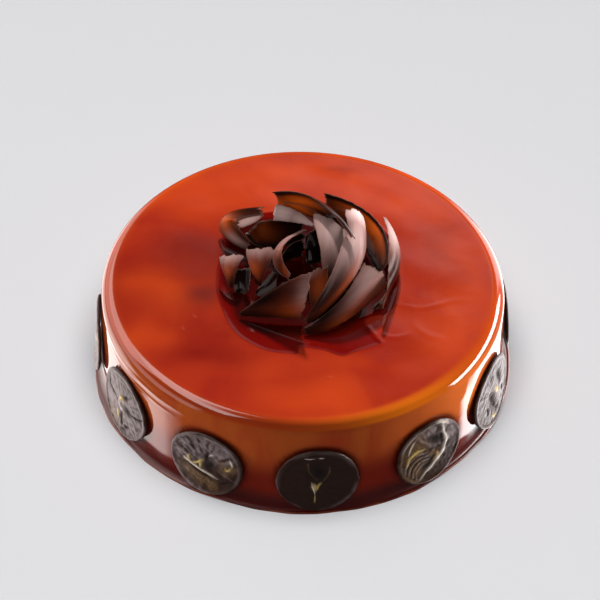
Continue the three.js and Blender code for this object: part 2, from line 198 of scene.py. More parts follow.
# Waves of a disc's outline: share of the radius and how many go round. The fine ones also have a factor for
# the disc's number, which sets their phase.
DISC_OUTLINE_WAVES = ((0.012, 2), (0.010, 3), (0.006, 5))
FINE_OUTLINE_WAVES = ((0.003, 17, 1), (0.002, 29, 2))
# A drop set on the edge of some discs: how far it stands out, as a share of the radius, and its reach
NUB_SHARE = 0.03
NUB_REACH = 0.045
# Shares of a disc's radius between which its lip rises, its lip falls, its drawn face ends, and the folds of
# its face begin and end
LIP_RISE = (0.86, 0.955)
LIP_FALL = (0.975, 1.0)
FACE_END = (0.90, 0.97)
FOLDS_BEGIN = (0.25, 0.6)
FOLDS_END = (0.82, 0.95)
# How far the outer edge of the lip is rounded off, as a share of the dish depth
LIP_ROUNDING = 0.6
# Height in millimetres of the fine grain of a disc's face
FACE_GRAIN = 0.05
# Noise in a disc's strokes, folds, grain and the breaks in the painted highlight on its lip: seed,
# wavelength on a disc of radius 1 and waves
DISC_NOISE = {
    "stroke": (40, 0.35, WAVES),
    "fold": (7, 0.22, 14),
    "grain": (90, 0.16, 14),
    "lip_break": (60, 0.9, WAVES),
}
# How much the noise changes the width of a stroke, the share of its width that a stroke keeps at its tips,
# and the share of a stroke that is cut off at each end, before it has thinned to nothing
STROKE_WOBBLE = 0.25
STROKE_TIP = 0.45
STROKE_CUT = 0.04
# Noise between which the painted highlight on the lip is broken off and kept
LIP_BREAK_FADE = (-0.7, 0.9)
# How strong the pale bloom and painted sheen are, and how much stronger where the grain and the folds stand
# up
BLOOM_STRENGTH = 0.8
BLOOM_ON_GRAIN = 0.3
BLOOM_ON_FOLDS = 0.45

# What is drawn in each kind of disc face, on a disc of radius 1: depth of its wrinkles in millimetres,
# strength of the painted highlight on its lip, place in degrees of a nub on its lip, strokes and hollows.
# A stroke is its kind, half width, height in millimetres and path; bloom_and_sheen strokes are partly
# painted sheen.
# Hollows and creases are painted with shade. Each of the hollows is its place, two radii, turn in degrees
# and depth.
DISC_FACES = {
    "knot": {
        "wrinkle": 0.05,
        "lip": 0.9,
        "strokes": (
            ("bloom_and_sheen", 0.70, 0.0, ((-0.35, 0.10), (0.00, 0.00), (0.35, -0.10))),
            ("crease", 0.040, -0.45, ((-0.73, 0.41), (-0.71, 0.16), (-0.50, 0.10), (-0.27, 0.02))),
            ("cream", 0.040, 0.25, ((-0.20, 0.02), (-0.10, -0.10), (0.00, -0.16), (0.12, -0.18))),
            ("gold", 0.045, 0.20, ((-0.10, 0.05), (-0.10, 0.18), (0.02, 0.22), (0.05, 0.10))),
            ("crease", 0.030, -0.30, ((0.27, -0.09), (0.50, 0.00), (0.76, 0.10), (0.93, 0.22))),
            ("crease", 0.055, -0.50, ((0.02, -0.20), (-0.02, -0.36), (0.00, -0.55), (0.06, -0.68))),
            ("dust", 0.16, 0.0, ((-0.52, -0.50), (-0.40, -0.62), (-0.26, -0.72))),
            ("crease", 0.050, -0.45, ((0.12, -0.62), (0.24, -0.60), (0.34, -0.52))),
            ("gold", 0.040, 0.10, ((-0.22, -0.30), (-0.20, -0.42), (-0.14, -0.52))),
        ),
        "hollows": ((0.13, 0.33, 0.16, 0.08, 40, 0.55), (0.24, -0.02, 0.16, 0.10, 0, 0.55),
                    (0.10, -0.78, 0.10, 0.05, 20, 0.40)),
    },
    "branch": {
        "wrinkle": 0.06,
        "lip": 0.7,
        "strokes": (
            ("bloom_and_sheen", 0.40, 0.0, ((-0.65, 0.10), (-0.40, 0.42), (0.00, 0.58), (0.40, 0.48))),
            ("bloom_and_sheen", 0.070, 0.0, ((-0.90, -0.28), (-0.74, -0.58), (-0.47, -0.80), (-0.16, -0.92))),
            ("bloom_and_sheen", 0.024, 0.16, ((-0.66, 0.52), (-0.52, 0.36), (-0.40, 0.22))),
            ("bloom_and_sheen", 0.022, 0.14, ((-0.54, 0.62), (-0.42, 0.46), (-0.30, 0.30))),
            ("dust", 0.22, 0.0, ((-0.50, -0.32), (-0.15, -0.48), (0.20, -0.62))),
            ("dust", 0.16, 0.0, ((0.50, 0.10), (0.62, 0.02), (0.70, 0.12))),
            ("cream", 0.034, 0.40, ((-0.58, -0.04), (-0.50, -0.08), (-0.34, -0.14), (-0.12, -0.23),
                                    (0.14, -0.28), (0.37, -0.37))),
            ("gold", 0.036, 0.36, ((-0.39, -0.14), (-0.26, -0.06), (-0.17, 0.01), (-0.07, 0.14))),
            ("gold", 0.040, 0.40, ((-0.12, -0.20), (-0.12, -0.06), (-0.11, 0.03), (-0.02, 0.16))),
            ("gold", 0.030, 0.30, ((-0.40, -0.10), (-0.46, 0.02), (-0.44, 0.12))),
            ("cream", 0.020, 0.22, ((0.10, 0.28), (0.14, 0.36), (0.24, 0.40))),
            ("gold", 0.035, 0.15, ((0.55, 0.06), (0.62, 0.02), (0.70, 0.12))),
            ("cream", 0.020, 0.18, ((0.64, 0.40), (0.70, 0.30), (0.73, 0.18))),
            ("crease", 0.045, -0.25, ((-0.56, -0.16), (-0.30, -0.26), (0.00, -0.36), (0.30, -0.46))),
            ("crease", 0.050, -0.14, ((-0.34, 0.20), (-0.48, 0.30), (-0.62, 0.40))),
            ("crease", 0.050, -0.12, ((-0.26, 0.32), (-0.38, 0.44), (-0.48, 0.55))),
            ("crease", 0.040, -0.12, ((0.40, -0.50), (0.56, -0.44), (0.70, -0.34))),
        ),
        "hollows": ((0.14, 0.00, 0.20, 0.14, 60, 0.45), (0.06, 0.30, 0.08, 0.20, -10, 0.22)),
    },
    "fork": {
        "wrinkle": 0.012,
        "lip": 0.3,
        "nub": -4,
        "strokes": (
            ("dust", 0.013, 0.14, ((-0.25, 0.60), (-0.24, 0.45), (-0.21, 0.32), (-0.12, 0.16),
                                   (-0.02, 0.05))),
            ("dust", 0.017, 0.18, ((0.27, 0.46), (0.28, 0.36), (0.25, 0.23), (0.14, 0.02))),
            ("cream", 0.016, 0.20, ((-0.15, -0.02), (-0.13, -0.18), (-0.09, -0.32), (-0.07, -0.44))),
            ("gold", 0.055, 0.12, ((-0.11, -0.06), (-0.08, -0.18), (-0.07, -0.34))),
            ("gold", 0.030, 0.16, ((0.08, -0.04), (0.00, -0.16), (-0.05, -0.32))),
            ("gold", 0.014, 0.14, ((-0.07, -0.44), (-0.07, -0.58), (-0.08, -0.72))),
            ("cream", 0.012, 0.08, ((-0.34, 0.76), (-0.22, 0.75), (-0.08, 0.76))),
            ("cream", 0.012, 0.08, ((0.00, 0.77), (0.06, 0.77), (0.14, 0.77))),
        ),
        "hollows": ((0.02, 0.28, 0.20, 0.26, 0, 0.20),),
    },
    "sweep": {
        "wrinkle": 0.02,
        "lip": 0.9,
        "strokes": (
            ("dust", 0.34, 0.0, ((-0.40, 0.45), (-0.55, 0.10), (-0.52, -0.40))),
            ("dust", 0.14, 0.0, ((0.05, -0.05), (0.14, -0.20), (0.06, -0.34))),
            ("bloom_and_sheen", 0.20, 0.0, ((0.56, 0.68), (0.70, 0.44), (0.76, 0.14))),
            ("bloom_and_sheen", 0.14, 0.0, ((-0.30, 0.70), (-0.10, 0.66), (0.05, 0.72))),
            ("cream", 0.055, 0.55, (
                (0.36, 0.88), (0.40, 0.70), (0.40, 0.54), (0.45, 0.36), (0.48, 0.16),
                (0.41, -0.07), (0.27, -0.26), (0.00, -0.46), (-0.23, -0.64), (-0.34, -0.76))),
            ("bloom_and_sheen", 0.050, 0.25, ((-0.37, 0.60), (-0.25, 0.48), (-0.13, 0.34), (0.07, 0.19),
                                    (0.28, 0.13))),
            ("gold", 0.040, 0.18, ((-0.20, 0.20), (-0.44, 0.22), (-0.66, 0.08), (-0.78, -0.18))),
            ("bloom_and_sheen", 0.028, 0.18, ((-0.16, 0.06), (-0.46, 0.10), (-0.72, -0.06), (-0.80, -0.34))),
            ("bloom_and_sheen", 0.030, 0.20, ((-0.12, -0.06), (-0.40, -0.04), (-0.62, -0.20), (-0.70, -0.50))),
            ("bloom_and_sheen", 0.024, 0.20, ((-0.10, -0.18), (-0.34, -0.16), (-0.54, -0.34), (-0.58, -0.62))),
            ("bloom_and_sheen", 0.022, 0.16, ((-0.14, -0.30), (-0.32, -0.30), (-0.46, -0.46), (-0.46, -0.72))),
            ("crease", 0.030, -0.22, ((-0.14, 0.00), (-0.44, 0.02), (-0.68, -0.14), (-0.76, -0.44))),
            ("crease", 0.030, -0.22, ((-0.12, -0.13), (-0.38, -0.11), (-0.58, -0.28), (-0.64, -0.58))),
            ("crease", 0.070, -0.30, ((0.30, 0.52), (0.36, 0.34), (0.36, 0.16))),
            ("crease", 0.060, -0.25, ((0.12, -0.10), (0.02, -0.24), (-0.16, -0.46))),
            ("gold", 0.030, 0.15, ((0.20, -0.10), (0.22, -0.20), (0.10, -0.32))),
            ("cream", 0.020, 0.16, ((-0.50, 0.62), (-0.62, 0.42), (-0.68, 0.22))),
            ("cream", 0.045, 0.22, ((0.18, 0.92), (0.34, 0.86), (0.52, 0.76), (0.62, 0.62))),
        ),
        "hollows": ((0.14, 0.36, 0.30, 0.15, -40, 0.50), (-0.16, -0.40, 0.16, 0.10, 35, 0.35)),
    },
    "fleck": {
        "wrinkle": 0.03,
        "lip": 1.0,
        "strokes": (
            ("bloom_and_sheen", 0.70, 0.0, ((-0.35, 0.10), (0.00, 0.00), (0.35, -0.10))),
            ("gold", 0.070, 0.25, ((0.06, 0.10), (0.16, -0.02), (0.24, -0.16))),
            ("crease", 0.130, -0.60, ((0.22, 0.56), (0.32, 0.36), (0.40, 0.18), (0.36, 0.00))),
            ("crease", 0.070, -0.40, ((0.02, -0.52), (0.12, -0.60), (0.20, -0.56))),
            ("crease", 0.060, -0.40, ((-0.10, -0.30), (-0.02, -0.42), (0.06, -0.50))),
            ("crease", 0.050, -0.35, ((-0.46, -0.20), (-0.40, -0.32), (-0.44, -0.46))),
            ("crease", 0.045, -0.35, ((0.50, -0.20), (0.56, -0.30), (0.54, -0.42))),
            ("crease", 0.040, -0.30, ((-0.20, 0.52), (-0.12, 0.60), (-0.02, 0.58))),
            ("cream", 0.030, 0.20, ((-0.30, 0.10), (-0.20, 0.02), (-0.06, -0.02))),
            ("gold", 0.040, 0.12, ((-0.18, -0.66), (-0.10, -0.74), (0.00, -0.72))),
        ),
        "hollows": ((-0.12, -0.16, 0.17, 0.30, 12, 0.70), (-0.20, 0.04, 0.13, 0.10, 0, 0.45)),
    },
}

# Curls of the heap, in millimetres above the top of the cake: spine (start, middle, end), the way the
# outer side faces at those places, half widths to the left and to the right, bend across the width at
# start and end in degrees, slant of the far end, notch (place, depth, reach) or None, and seed
CURLS = (
    ("curl_front_right_low", ((1.2, -34, 2.2), (18.6, -26.8, 7.4), (34.2, -8.8, 14.8)),
     ((0, -0.75, 0.65), (0.47, -0.77, 0.44), (0.47, -0.53, 0.7)),
     (1.5, 5.1, 8.2), (1.5, 6.7, 9.4), (80, 90), 0, None, 3),
    ("curl_front_right_mid", ((1.8, -29.6, 3), (20.8, -8.8, 20.2), (23.2, 25.5, 21)),
     ((0, -0.7, 0.7), (0.23, -0.33, 0.81), (0.45, 0.05, 0.9)),
     (1.5, 6.5, 5), (1.5, 5.3, 5), (80, 75), 0, (0.8, 0.35, 0.1), 4),
    ("curl_front_right_top", ((9, -19, 4.5), (12.5, -5.5, 17.5), (12.5, 15.5, 23.5)),
     ((0, -0.8, 0.6), (0.06, -0.42, 0.8), (0.12, -0.05, 1)),
     (1.5, 4.5, 8.5), (1.5, 5, 9), (50, 50), -0.12, None, 5),
    ("curl_front_right_under", ((4.5, -28, 1.8), (19, -14.5, 4.2), (28.5, -1, 7.5)),
     ((0.1, -0.3, 0.95), (0.25, -0.35, 0.87), (0.4, -0.4, 0.8)),
     (1.5, 3.5, 3.5), (1.5, 3, 3.5), (30, 30), 0, None, 20),
    ("curl_front_left", ((-28, -24.4, 1.8), (-12.6, -25, 7.8), (1, -26.2, 12.4)),
     ((-0.3, -0.75, 0.55), (-0.15, -0.88, 0.45), (-0.05, -0.92, 0.4)),
     (1, 7.4, 12.4), (1, 6.4, 11.5), (70, 75), -0.17, None, 6),
    ("curl_front_inner", ((7.2, -22.3, 4.6), (7.4, -16.9, 11.2), (7.6, -10, 17)),
     ((0.05, -0.85, 0.5), (0.05, -0.85, 0.5), (0.05, -0.8, 0.6)),
     (3, 5, 5.6), (2.4, 3, 3.4), (30, 30), 0.1, None, 7),
    ("curl_back_hood", ((-13.5, 35, 20), (7.5, 25.8, 25.3), (22.5, 1.5, 26.5)),
     ((-0.1, 0.95, 0.2), (0.3, 0.8, 0.5), (0.6, 0.5, 0.6)), (12, 10, -8), (4, 4.5, 2), (62, 62), 0, None, 8),
    ("curl_back_mid", ((-9.3, 33.1, 16.8), (-1, 30.3, 16.7), (7.8, 25.6, 16.2)),
     ((-0.25, 0.95, 0.1), (-0.2, 0.95, 0.1), (-0.2, 0.95, 0.1)),
     (1.8, 3.4, 3), (2, 2.6, 1.6), (40, 40), 0, None, 23),
    ("curl_back_inner", ((-14, 28.4, 15.8), (-5, 26.2, 15.5), (4.3, 22.2, 13.6)),
     ((-0.3, -0.3, 0.9), (-0.25, -0.3, 0.92), (-0.2, -0.3, 0.92)),
     (4.2, 3.2, 0.6), (4.2, 3, 0.6), (25, 25), 0, None, 9),
    ("curl_back_right", ((9.5, 44, 11), (31.7, 27.8, 11.5), (38, 3.2, 8)),
     ((0.2, 0.95, -0.1), (0.55, 0.7, -0.3), (0.85, 0.35, -0.2)),
     (10, 12, 8), (3, 2.2, 4), (70, 70), 0, None, 10),
    ("curl_right_rim", ((36.8, 29.2, 13.2), (43, 3.8, 9.8), (34.6, -20.5, 2.8)),
     ((0.55, 0.3, 0.8), (0.85, 0.1, 0.45), (0.75, 0, -0.65)),
     (5, 6.2, 4.5), (1, 6, 7), (90, 80), 0, None, 11),
    ("curl_left_back_outer", ((-25.2, 18.2, 4.4), (-37, 30, 8.4), (-20, 35, 11.8)),
     ((-0.3, -0.85, 0.4), (-0.75, -0.15, 0.65), (-0.15, 0.35, 0.9)),
     (4, 5, 5), (1.6, 7, 6), (60, 60), 0, None, 12),
    ("curl_left_back_inner", ((-25, 24.2, 8), (-15.2, 22, 4.4), (0, 24.8, 5.4)),
     ((-0.5, 0.4, -0.7), (0, 0.5, -0.8), (0.3, 0.4, -0.8)), (5, 5, 2), (6.4, 10, 8), (90, 100), 0, None, 13),
    ("flake_left_back", ((-20, 25, 16), (-25, 23, 15), (-30, 21.5, 14)),
     ((0, -0.2, 1), (0, -0.2, 1), (0, -0.2, 1)), (0.6, 2, 2), (0.6, 2, 2), (20, 20), 0, None, 22),
    ("curl_left_front_outer", ((-33, -7, 1.5), (-34, -3, 8.8), (-33, 4, 11.5)),
     ((-0.6, -0.75, 0.2), (-0.5, -0.45, 0.63), (-0.3, -0.1, 0.95)),
     (1, 4.5, 6.5), (1, 4, 6.2), (70, 60), 0, None, 14),
    ("curl_left_cup", ((-26.4, -11, 1.8), (-26, -4.3, 4.4), (-25.8, 0.2, 6.4)),
     ((0.5, 0.6, -0.5), (0.5, 0.65, -0.4), (0.5, 0.7, -0.3)),
     (3.5, 4.8, 4), (4.5, 5.6, 4.2), (100, 100), 0, None, 17),
    ("curl_left_front_inner", ((-20, -8, 4), (-19.7, -5, 13), (-19, 3.2, 17)),
     ((-0.3, -0.9, 0.2), (-0.22, -0.55, 0.68), (-0.1, -0.1, 1)),
     (2, 6, 7.8), (1, 3.5, 7.2), (60, 60), 0, None, 15),
    ("curl_left_low", ((-19.2, -13.2, 2.2), (-16.2, -8.3, 4.8), (-14.2, -2.5, 6.8)),
     ((-0.5, -0.8, 0.2), (-0.55, -0.75, 0.25), (-0.6, -0.7, 0.3)),
     (3, 4.6, 4), (3, 4, 2.6), (50, 50), 0, None, 19),
    ("curl_centre_rim", ((0, 19, 14), (-11, 5, 15), (-6.5, -8, 11)),
     ((-0.2, 0.5, 0.85), (-0.6, 0, 0.8), (-0.8, -0.5, 0.3)),
     (1.5, 1.5, 1), (3.5, 6.5, 6), (50, 60), 0, None, 16),
    ("curl_centre_back", ((-12, 2, 6), (-7.5, 11.4, 6.6), (-0.4, 15.2, 6.6)),
     ((-0.95, 0.25, 0.1), (-0.7, 0.7, 0.1), (-0.3, 0.95, 0.1)),
     (4.5, 5.4, 5.4), (3.5, 5, 6), (20, 20), 0, None, 21),
    ("curl_centre_front", ((-12.8, -13.2, 1.8), (-8, -10.5, 4), (-2, -10.5, 4.6)),
     ((-0.2, -0.5, 0.85), (-0.1, -0.5, 0.85), (0, -0.5, 0.85)),
     (2, 4, 3.5), (2, 4, 4), (40, 40), 0, None, 24),
    ("curl_centre_wall", ((5, 8, 3), (5, 15, 7.5), (4, 21.5, 10.8)),
     ((0.3, 0.9, 0), (0.3, 0.9, 0.05), (0.3, 0.9, 0.1)), (4, 5.5, 5.5), (4, 5, 5), (70, 70), 0, None, 18),
)
# Tints of a curl: kind, side (1 outer, -1 inner), place along and across the strip, reach along and
# across, and strength. The painted_glow tint is painted light shining through thin chocolate and the
# orange glaze reflected in it, pale is painted sheen where the curl faces the light and dark is painted
# shade.
CURL_TINTS = {
    "curl_front_right_low": (
        ("pale", 1, 0.95, -0.25, 0.36, 0.8, 0.42), ("dark", 1, 0.25, -0.8, 0.35, 0.7, 1.0),
        ("painted_glow", 1, 0.66, 0.6, 0.38, 0.55, 0.26)),
    "curl_front_right_mid": (
        ("pale", 1, 1.0, 0.0, 0.14, 1.3, 0.92), ("pale", 1, 0.70, -0.2, 0.26, 0.9, 0.58),
        ("dark", 1, 0.2, -0.6, 0.3, 0.8, 0.8), ("painted_glow", 1, 0.33, 0.6, 0.2, 0.35, 0.24)),
    "curl_front_right_top": (
        ("pale", 1, 0.85, 0.1, 0.28, 1.4, 0.62), ("dark", 1, 0.2, 0.0, 0.38, 1.5, 1.0)),
    "curl_front_left": (
        ("pale", 1, 1.0, -0.2, 0.16, 0.7, 0.28), ("dark", 1, 0.35, -0.7, 0.5, 0.8, 1.0),
        ("painted_glow", 1, 0.85, 0.5, 0.3, 0.5, 0.24)),
    "curl_front_inner": (("pale", 1, 1.0, -0.5, 0.15, 0.8, 0.20), ("painted_glow", 1, 0.5, 0.3, 0.4, 0.9, 0.34)),
    "curl_back_hood": (
        ("dark", -1, 0.7, 0.3, 0.4, 1.5, 1.0), ("dark", 1, 0.8, 0.0, 0.45, 2.0, 1.0),
        ("painted_glow", -1, 0.19, -0.5, 0.19, 0.6, 1.0)),
    "curl_back_mid": (("painted_glow", -1, 0.35, 0.0, 0.4, 1.5, 0.45),),
    "curl_back_inner": (("pale", 1, 0.2, 0.0, 0.4, 1.5, 1.0), ("pale", 1, 0.8, 0.0, 0.5, 1.5, 0.95)),
    "curl_back_right": (("painted_glow", -1, 0.5, -0.1, 0.28, 0.4, 1.0),),
    "curl_right_rim": (
        ("pale", 1, 0.2, 0.3, 0.2, 1.2, 0.6), ("dark", 1, 0.8, 0.0, 0.4, 1.5, 1.0),
        ("painted_glow", -1, 0.75, 0.1, 0.22, 0.5, 0.6)),
    "curl_left_back_outer": (
        ("dark", 1, 0.9, 0.0, 0.28, 1.5, 0.95), ("dark", 1, 0.10, 0.3, 0.26, 1.2, 0.9),
        ("painted_glow", 1, 0.46, 0.1, 0.22, 0.9, 0.36), ("pale", 1, 0.15, -0.3, 0.13, 0.5, 0.25)),
    "curl_left_back_inner": (
        ("painted_glow", -1, 0.30, 0.3, 0.30, 0.6, 0.16), ("dark", -1, 0.8, 0.0, 0.3, 1.5, 1.0)),
    "flake_left_back": (("pale", 1, 0.6, 0.0, 0.8, 1.5, 0.45),),
    "curl_left_front_outer": (
        ("pale", 1, 1.0, 0.0, 0.3, 1.5, 0.34), ("painted_glow", 1, 0.5, -0.1, 0.25, 0.8, 0.18)),
    "curl_left_front_inner": (
        ("pale", 1, 1.0, 0.0, 0.25, 1.5, 0.30), ("painted_glow", 1, 0.45, -0.4, 0.25, 0.7, 0.18)),
    "curl_left_low": (("dark", 1, 0.5, 0.0, 1.5, 3.0, 1.0),),
    "curl_centre_rim": (("pale", 1, 0.2, 0.0, 0.35, 1.5, 0.28), ("painted_glow", 1, 0.8, 0.3, 0.3, 1.0, 0.12)),
    "curl_centre_front": (("dark", 1, 0.5, 0.0, 1.0, 1.5, 0.9),),
}
# Heights above the top of the cake, in millimetres, between which the painted shade of a curl's foot goes
# from darkest to plain, how dark it is, and how much of the painted highlight on the edges is lost in
# painted shade
DARK_FOOT = (2.0, 12.0)
FOOT_DARKNESS = 0.85
EDGE_LOSS = 0.8
# Waves of a torn edge: height in millimetres and turns across the strip
TORN_WAVES = ((0.5, 3.9), (0.35, 8.7))
FINE_TORN_WAVES = ((0.22, 15.9), (0.15, 27.3), (0.10, 44.1))
# How deep the start of a curl is torn, as a share of its far end
START_TEAR_SHARE = 0.5
# Unevenness of a curl's long sides: height and wavelength in millimetres, how far apart the two sides are in
# the noise, and the share of the curl over which it begins
SIDE_WAVES = 0.12
SIDE_WAVE_LENGTH = 4.0
SIDES_APART = 9
SIDE_WAVES_BEGIN = 0.1
# Least half width of a curl, in millimetres
LEAST_HALF_WIDTH = 0.25
# Steps along and across a curl
CURL_ROWS = 60
CURL_COLUMNS = 22
# A curl is thin at its edges: share of the thickness there, how far in from the edge it is full, and how far
# the middle of the thin edge stands out, in millimetres
EDGE_THICKNESS = 0.42
FULL_THICKNESS_AT = 1.6
EDGE_BULGE = 0.12
# Painted highlight along the edges: its width in millimetres, its strength on the long sides, and where
# along the curl the stronger painted highlight of the torn end begins
EDGE_LINE = 0.22
SIDE_LINE_STRENGTH = 0.45
TORN_END = 0.9
# How much brighter the mottle of a curl is in red, green and blue
CURL_MOTTLE = (1.4, 1.3, 1.25)

# Half the width of the floor, in metres, and the brightness of its faint mottle
FLOOR_HALF = 3.0
FLOOR_MOTTLE = 0.985
# Lamps on the cake, and the one that lights only the floor: azimuth and elevation in degrees, distance and
# size in metres, and share of the lamp power
LAMPS = {
    "lamp_back": (180, 37, 2.4, 0.16, 1.14),
    "lamp_left": (-92, 10, 2.0, 0.8, 0.42),
    "lamp_right": (110, 9, 2.0, 0.8, 1.05),
    "lamp_front": (-12, 45, 2.2, 1.3, 0.16),
}
FLOOR_LAMP = (0, 85, 2.5, 2.0, 1.18)
LAMP_COLOUR = (1.0, 0.98, 0.96)
# Surroundings that show only as reflections: the dim room, and patches in it. A patch is the azimuths of its
# ends in degrees from -Y by +X round to 360, the heights of its borders from -1 to 1, the softness of its
# ends and of its borders, and its colour. The colours of the two panels are made brighter by their settings.
ROOM_COLOUR = (0.03, 0.03, 0.033)
PATCHES = {
    "backdrop": ((118, 160), (-0.99, 0.40), (12, 0.12), (0.40, 0.39, 0.40)),
    "wide_veil": ((165, 181), (0.61, 0.685), (3.0, 0.012), (0.45, 0.44, 0.45)),
    "bright_veil": ((160, 177.8), (0.61, 0.69), (2.0, 0.04), (0.80, 0.77, 0.80)),
    "right_panel": ((82, 133), (0.10, 0.42), (1.5, 0.02), (1.0, 1.0, 0.99)),
    "right_back": ((138, 160), (-0.20, 0.42), (4.0, 0.06), (4.0, 3.7, 3.7)),
    "left_panel": ((200, 308), (0.02, 0.45), (4.0, 0.04), (1.0, 0.93, 0.90)),
    "left_high": ((202, 260), (0.45, 0.78), (5.0, 0.04), (3.6, 3.3, 3.2)),
    "left_top": ((194, 312), (0.78, 0.94), (4.0, 0.03), (5.0, 4.6, 4.5)),
    "right_low": ((102.5, 158), (-0.95, -0.63), (1.5, 0.04), (6.0, 5.9, 5.9)),
    "right_side": ((139, 158), (-0.63, -0.22), (3.0, 0.05), (6.0, 5.9, 5.9)),
    "left_low": ((202, 284), (-0.95, -0.63), (8.0, 0.04), (2.9, 2.6, 2.5)),
    "left_side": ((202, 262), (-0.63, -0.08), (6.0, 0.05), (2.9, 2.6, 2.5)),
}
# Point that the camera looks at, in metres, width of its sensor in millimetres, and the nearest and the
# farthest that it sees, in metres
CAMERA_AIM = Vector((-0.0013, -0.0007, 0.0382))
SENSOR_WIDTH = 36.0
NEAREST_SEEN = 0.01
FARTHEST_SEEN = 50.0


class GlazeSettings(bpy.types.PropertyGroup):
    """Sizes and colours of the glazed cake"""

    flat: FloatProperty(
        name="Flat radius", description="Radius of the flat top inside the rounded rim",
        default=0.0857, min=0.01, subtype="DISTANCE", unit="LENGTH")
    rim: FloatProperty(
        name="Rim rounding", description="Radius of the rounded rim",
        default=0.0062, min=0.0005, subtype="DISTANCE", unit="LENGTH")
    rim_turn: FloatProperty(
        name="Rim turn", description="Angle through which the rim is rounded before the shoulder begins",
        default=math.radians(83), subtype="ANGLE", unit="ROTATION")
    shoulder: FloatProperty(
        name="Shoulder radius", description="Radius where the shoulder under the rim becomes the wall",
        default=0.0926, min=0.01, subtype="DISTANCE", unit="LENGTH")
    shoulder_height: FloatProperty(
        name="Shoulder height", description="Height where the shoulder under the rim becomes the wall",
        default=0.035, min=0.001, subtype="DISTANCE", unit="LENGTH")
    wall_foot: FloatProperty(
        name="Wall radius at the foot", description="Radius where the wall runs into the foot of glaze",
        default=0.0933, min=0.01, subtype="DISTANCE", unit="LENGTH")
    foot: FloatProperty(
        name="Foot radius", description="Radius of the foot of set glaze",
        default=0.0968, min=0.01, subtype="DISTANCE", unit="LENGTH")
    lip: FloatProperty(
        name="Foot thickness", description="Thickness of the glaze at the edge of the foot",
        default=0.0008, min=0.0001, subtype="DISTANCE", unit="LENGTH")
    sweep: FloatProperty(
        name="Foot sweep", description="Height over which the wall sweeps out into the foot",
        default=0.009, min=0.001, subtype="DISTANCE", unit="LENGTH")
    sides: IntProperty(name="Sides", description="Steps round the cake", default=288, min=32)
    orange: FloatVectorProperty(
        name="Orange caramel", description="Brightest caramel clouds", default=(0.45, 0.043, 0.0075),
        subtype="COLOR", size=3, min=0, max=1)
    red: FloatVectorProperty(
        name="Red caramel", description="Caramel between the clouds", default=(0.27, 0.0155, 0.006),
        subtype="COLOR", size=3, min=0, max=1)
    # Brownish caramel clouds, and also the painted shade left of the heap
    dull_and_shade: FloatVectorProperty(
        name="Dull caramel", description="Brownish clouds", default=(0.15, 0.017, 0.012),
        subtype="COLOR", size=3, min=0, max=1)
    deep: FloatVectorProperty(
        name="Deep caramel", description="Darkest red clouds", default=(0.17, 0.006, 0.004),
        subtype="COLOR", size=3, min=0, max=1)
    # Painted glow of light through the thin glaze along the rim
    amber: FloatVectorProperty(
        name="Amber rim", description="Thin glaze along the rim", default=(0.66, 0.14, 0.005),
        subtype="COLOR", size=3, min=0, max=1)
    brown: FloatVectorProperty(
        name="Brown side", description="Glaze on the side", default=(0.36, 0.066, 0.011),
        subtype="COLOR", size=3, min=0, max=1)
    # Painted orange glow on the side
    side_orange: FloatVectorProperty(
        name="Orange side", description="Thin, glowing glaze on the side", default=(0.60, 0.125, 0.022),
        subtype="COLOR", size=3, min=0, max=1)
    low_red: FloatVectorProperty(
        name="Low red side", description="Deeper glaze on the lower half of the side",
        default=(0.17, 0.012, 0.004), subtype="COLOR", size=3, min=0, max=1)
    # Painted shadow and reflection of the heap on the top
    pool: FloatVectorProperty(
        name="Dark pool", description="Pool of dark caramel round the heap", default=(0.135, 0.0018, 0.0006),
        subtype="COLOR", size=3, min=0, max=1)
    # Painted shade under the heap
    core: FloatVectorProperty(
        name="Pool under the heap", description="Darkest caramel under the heap",
        default=(0.036, 0.001, 0.0005), subtype="COLOR", size=3, min=0, max=1)
    # Burgundy colours the thick glaze of the foot and the painted shade round the discs
    burgundy: FloatVectorProperty(
        name="Burgundy foot", description="Thick glaze at the foot and round the discs",
        default=(0.055, 0.002, 0.001), subtype="COLOR", size=3, min=0, max=1)


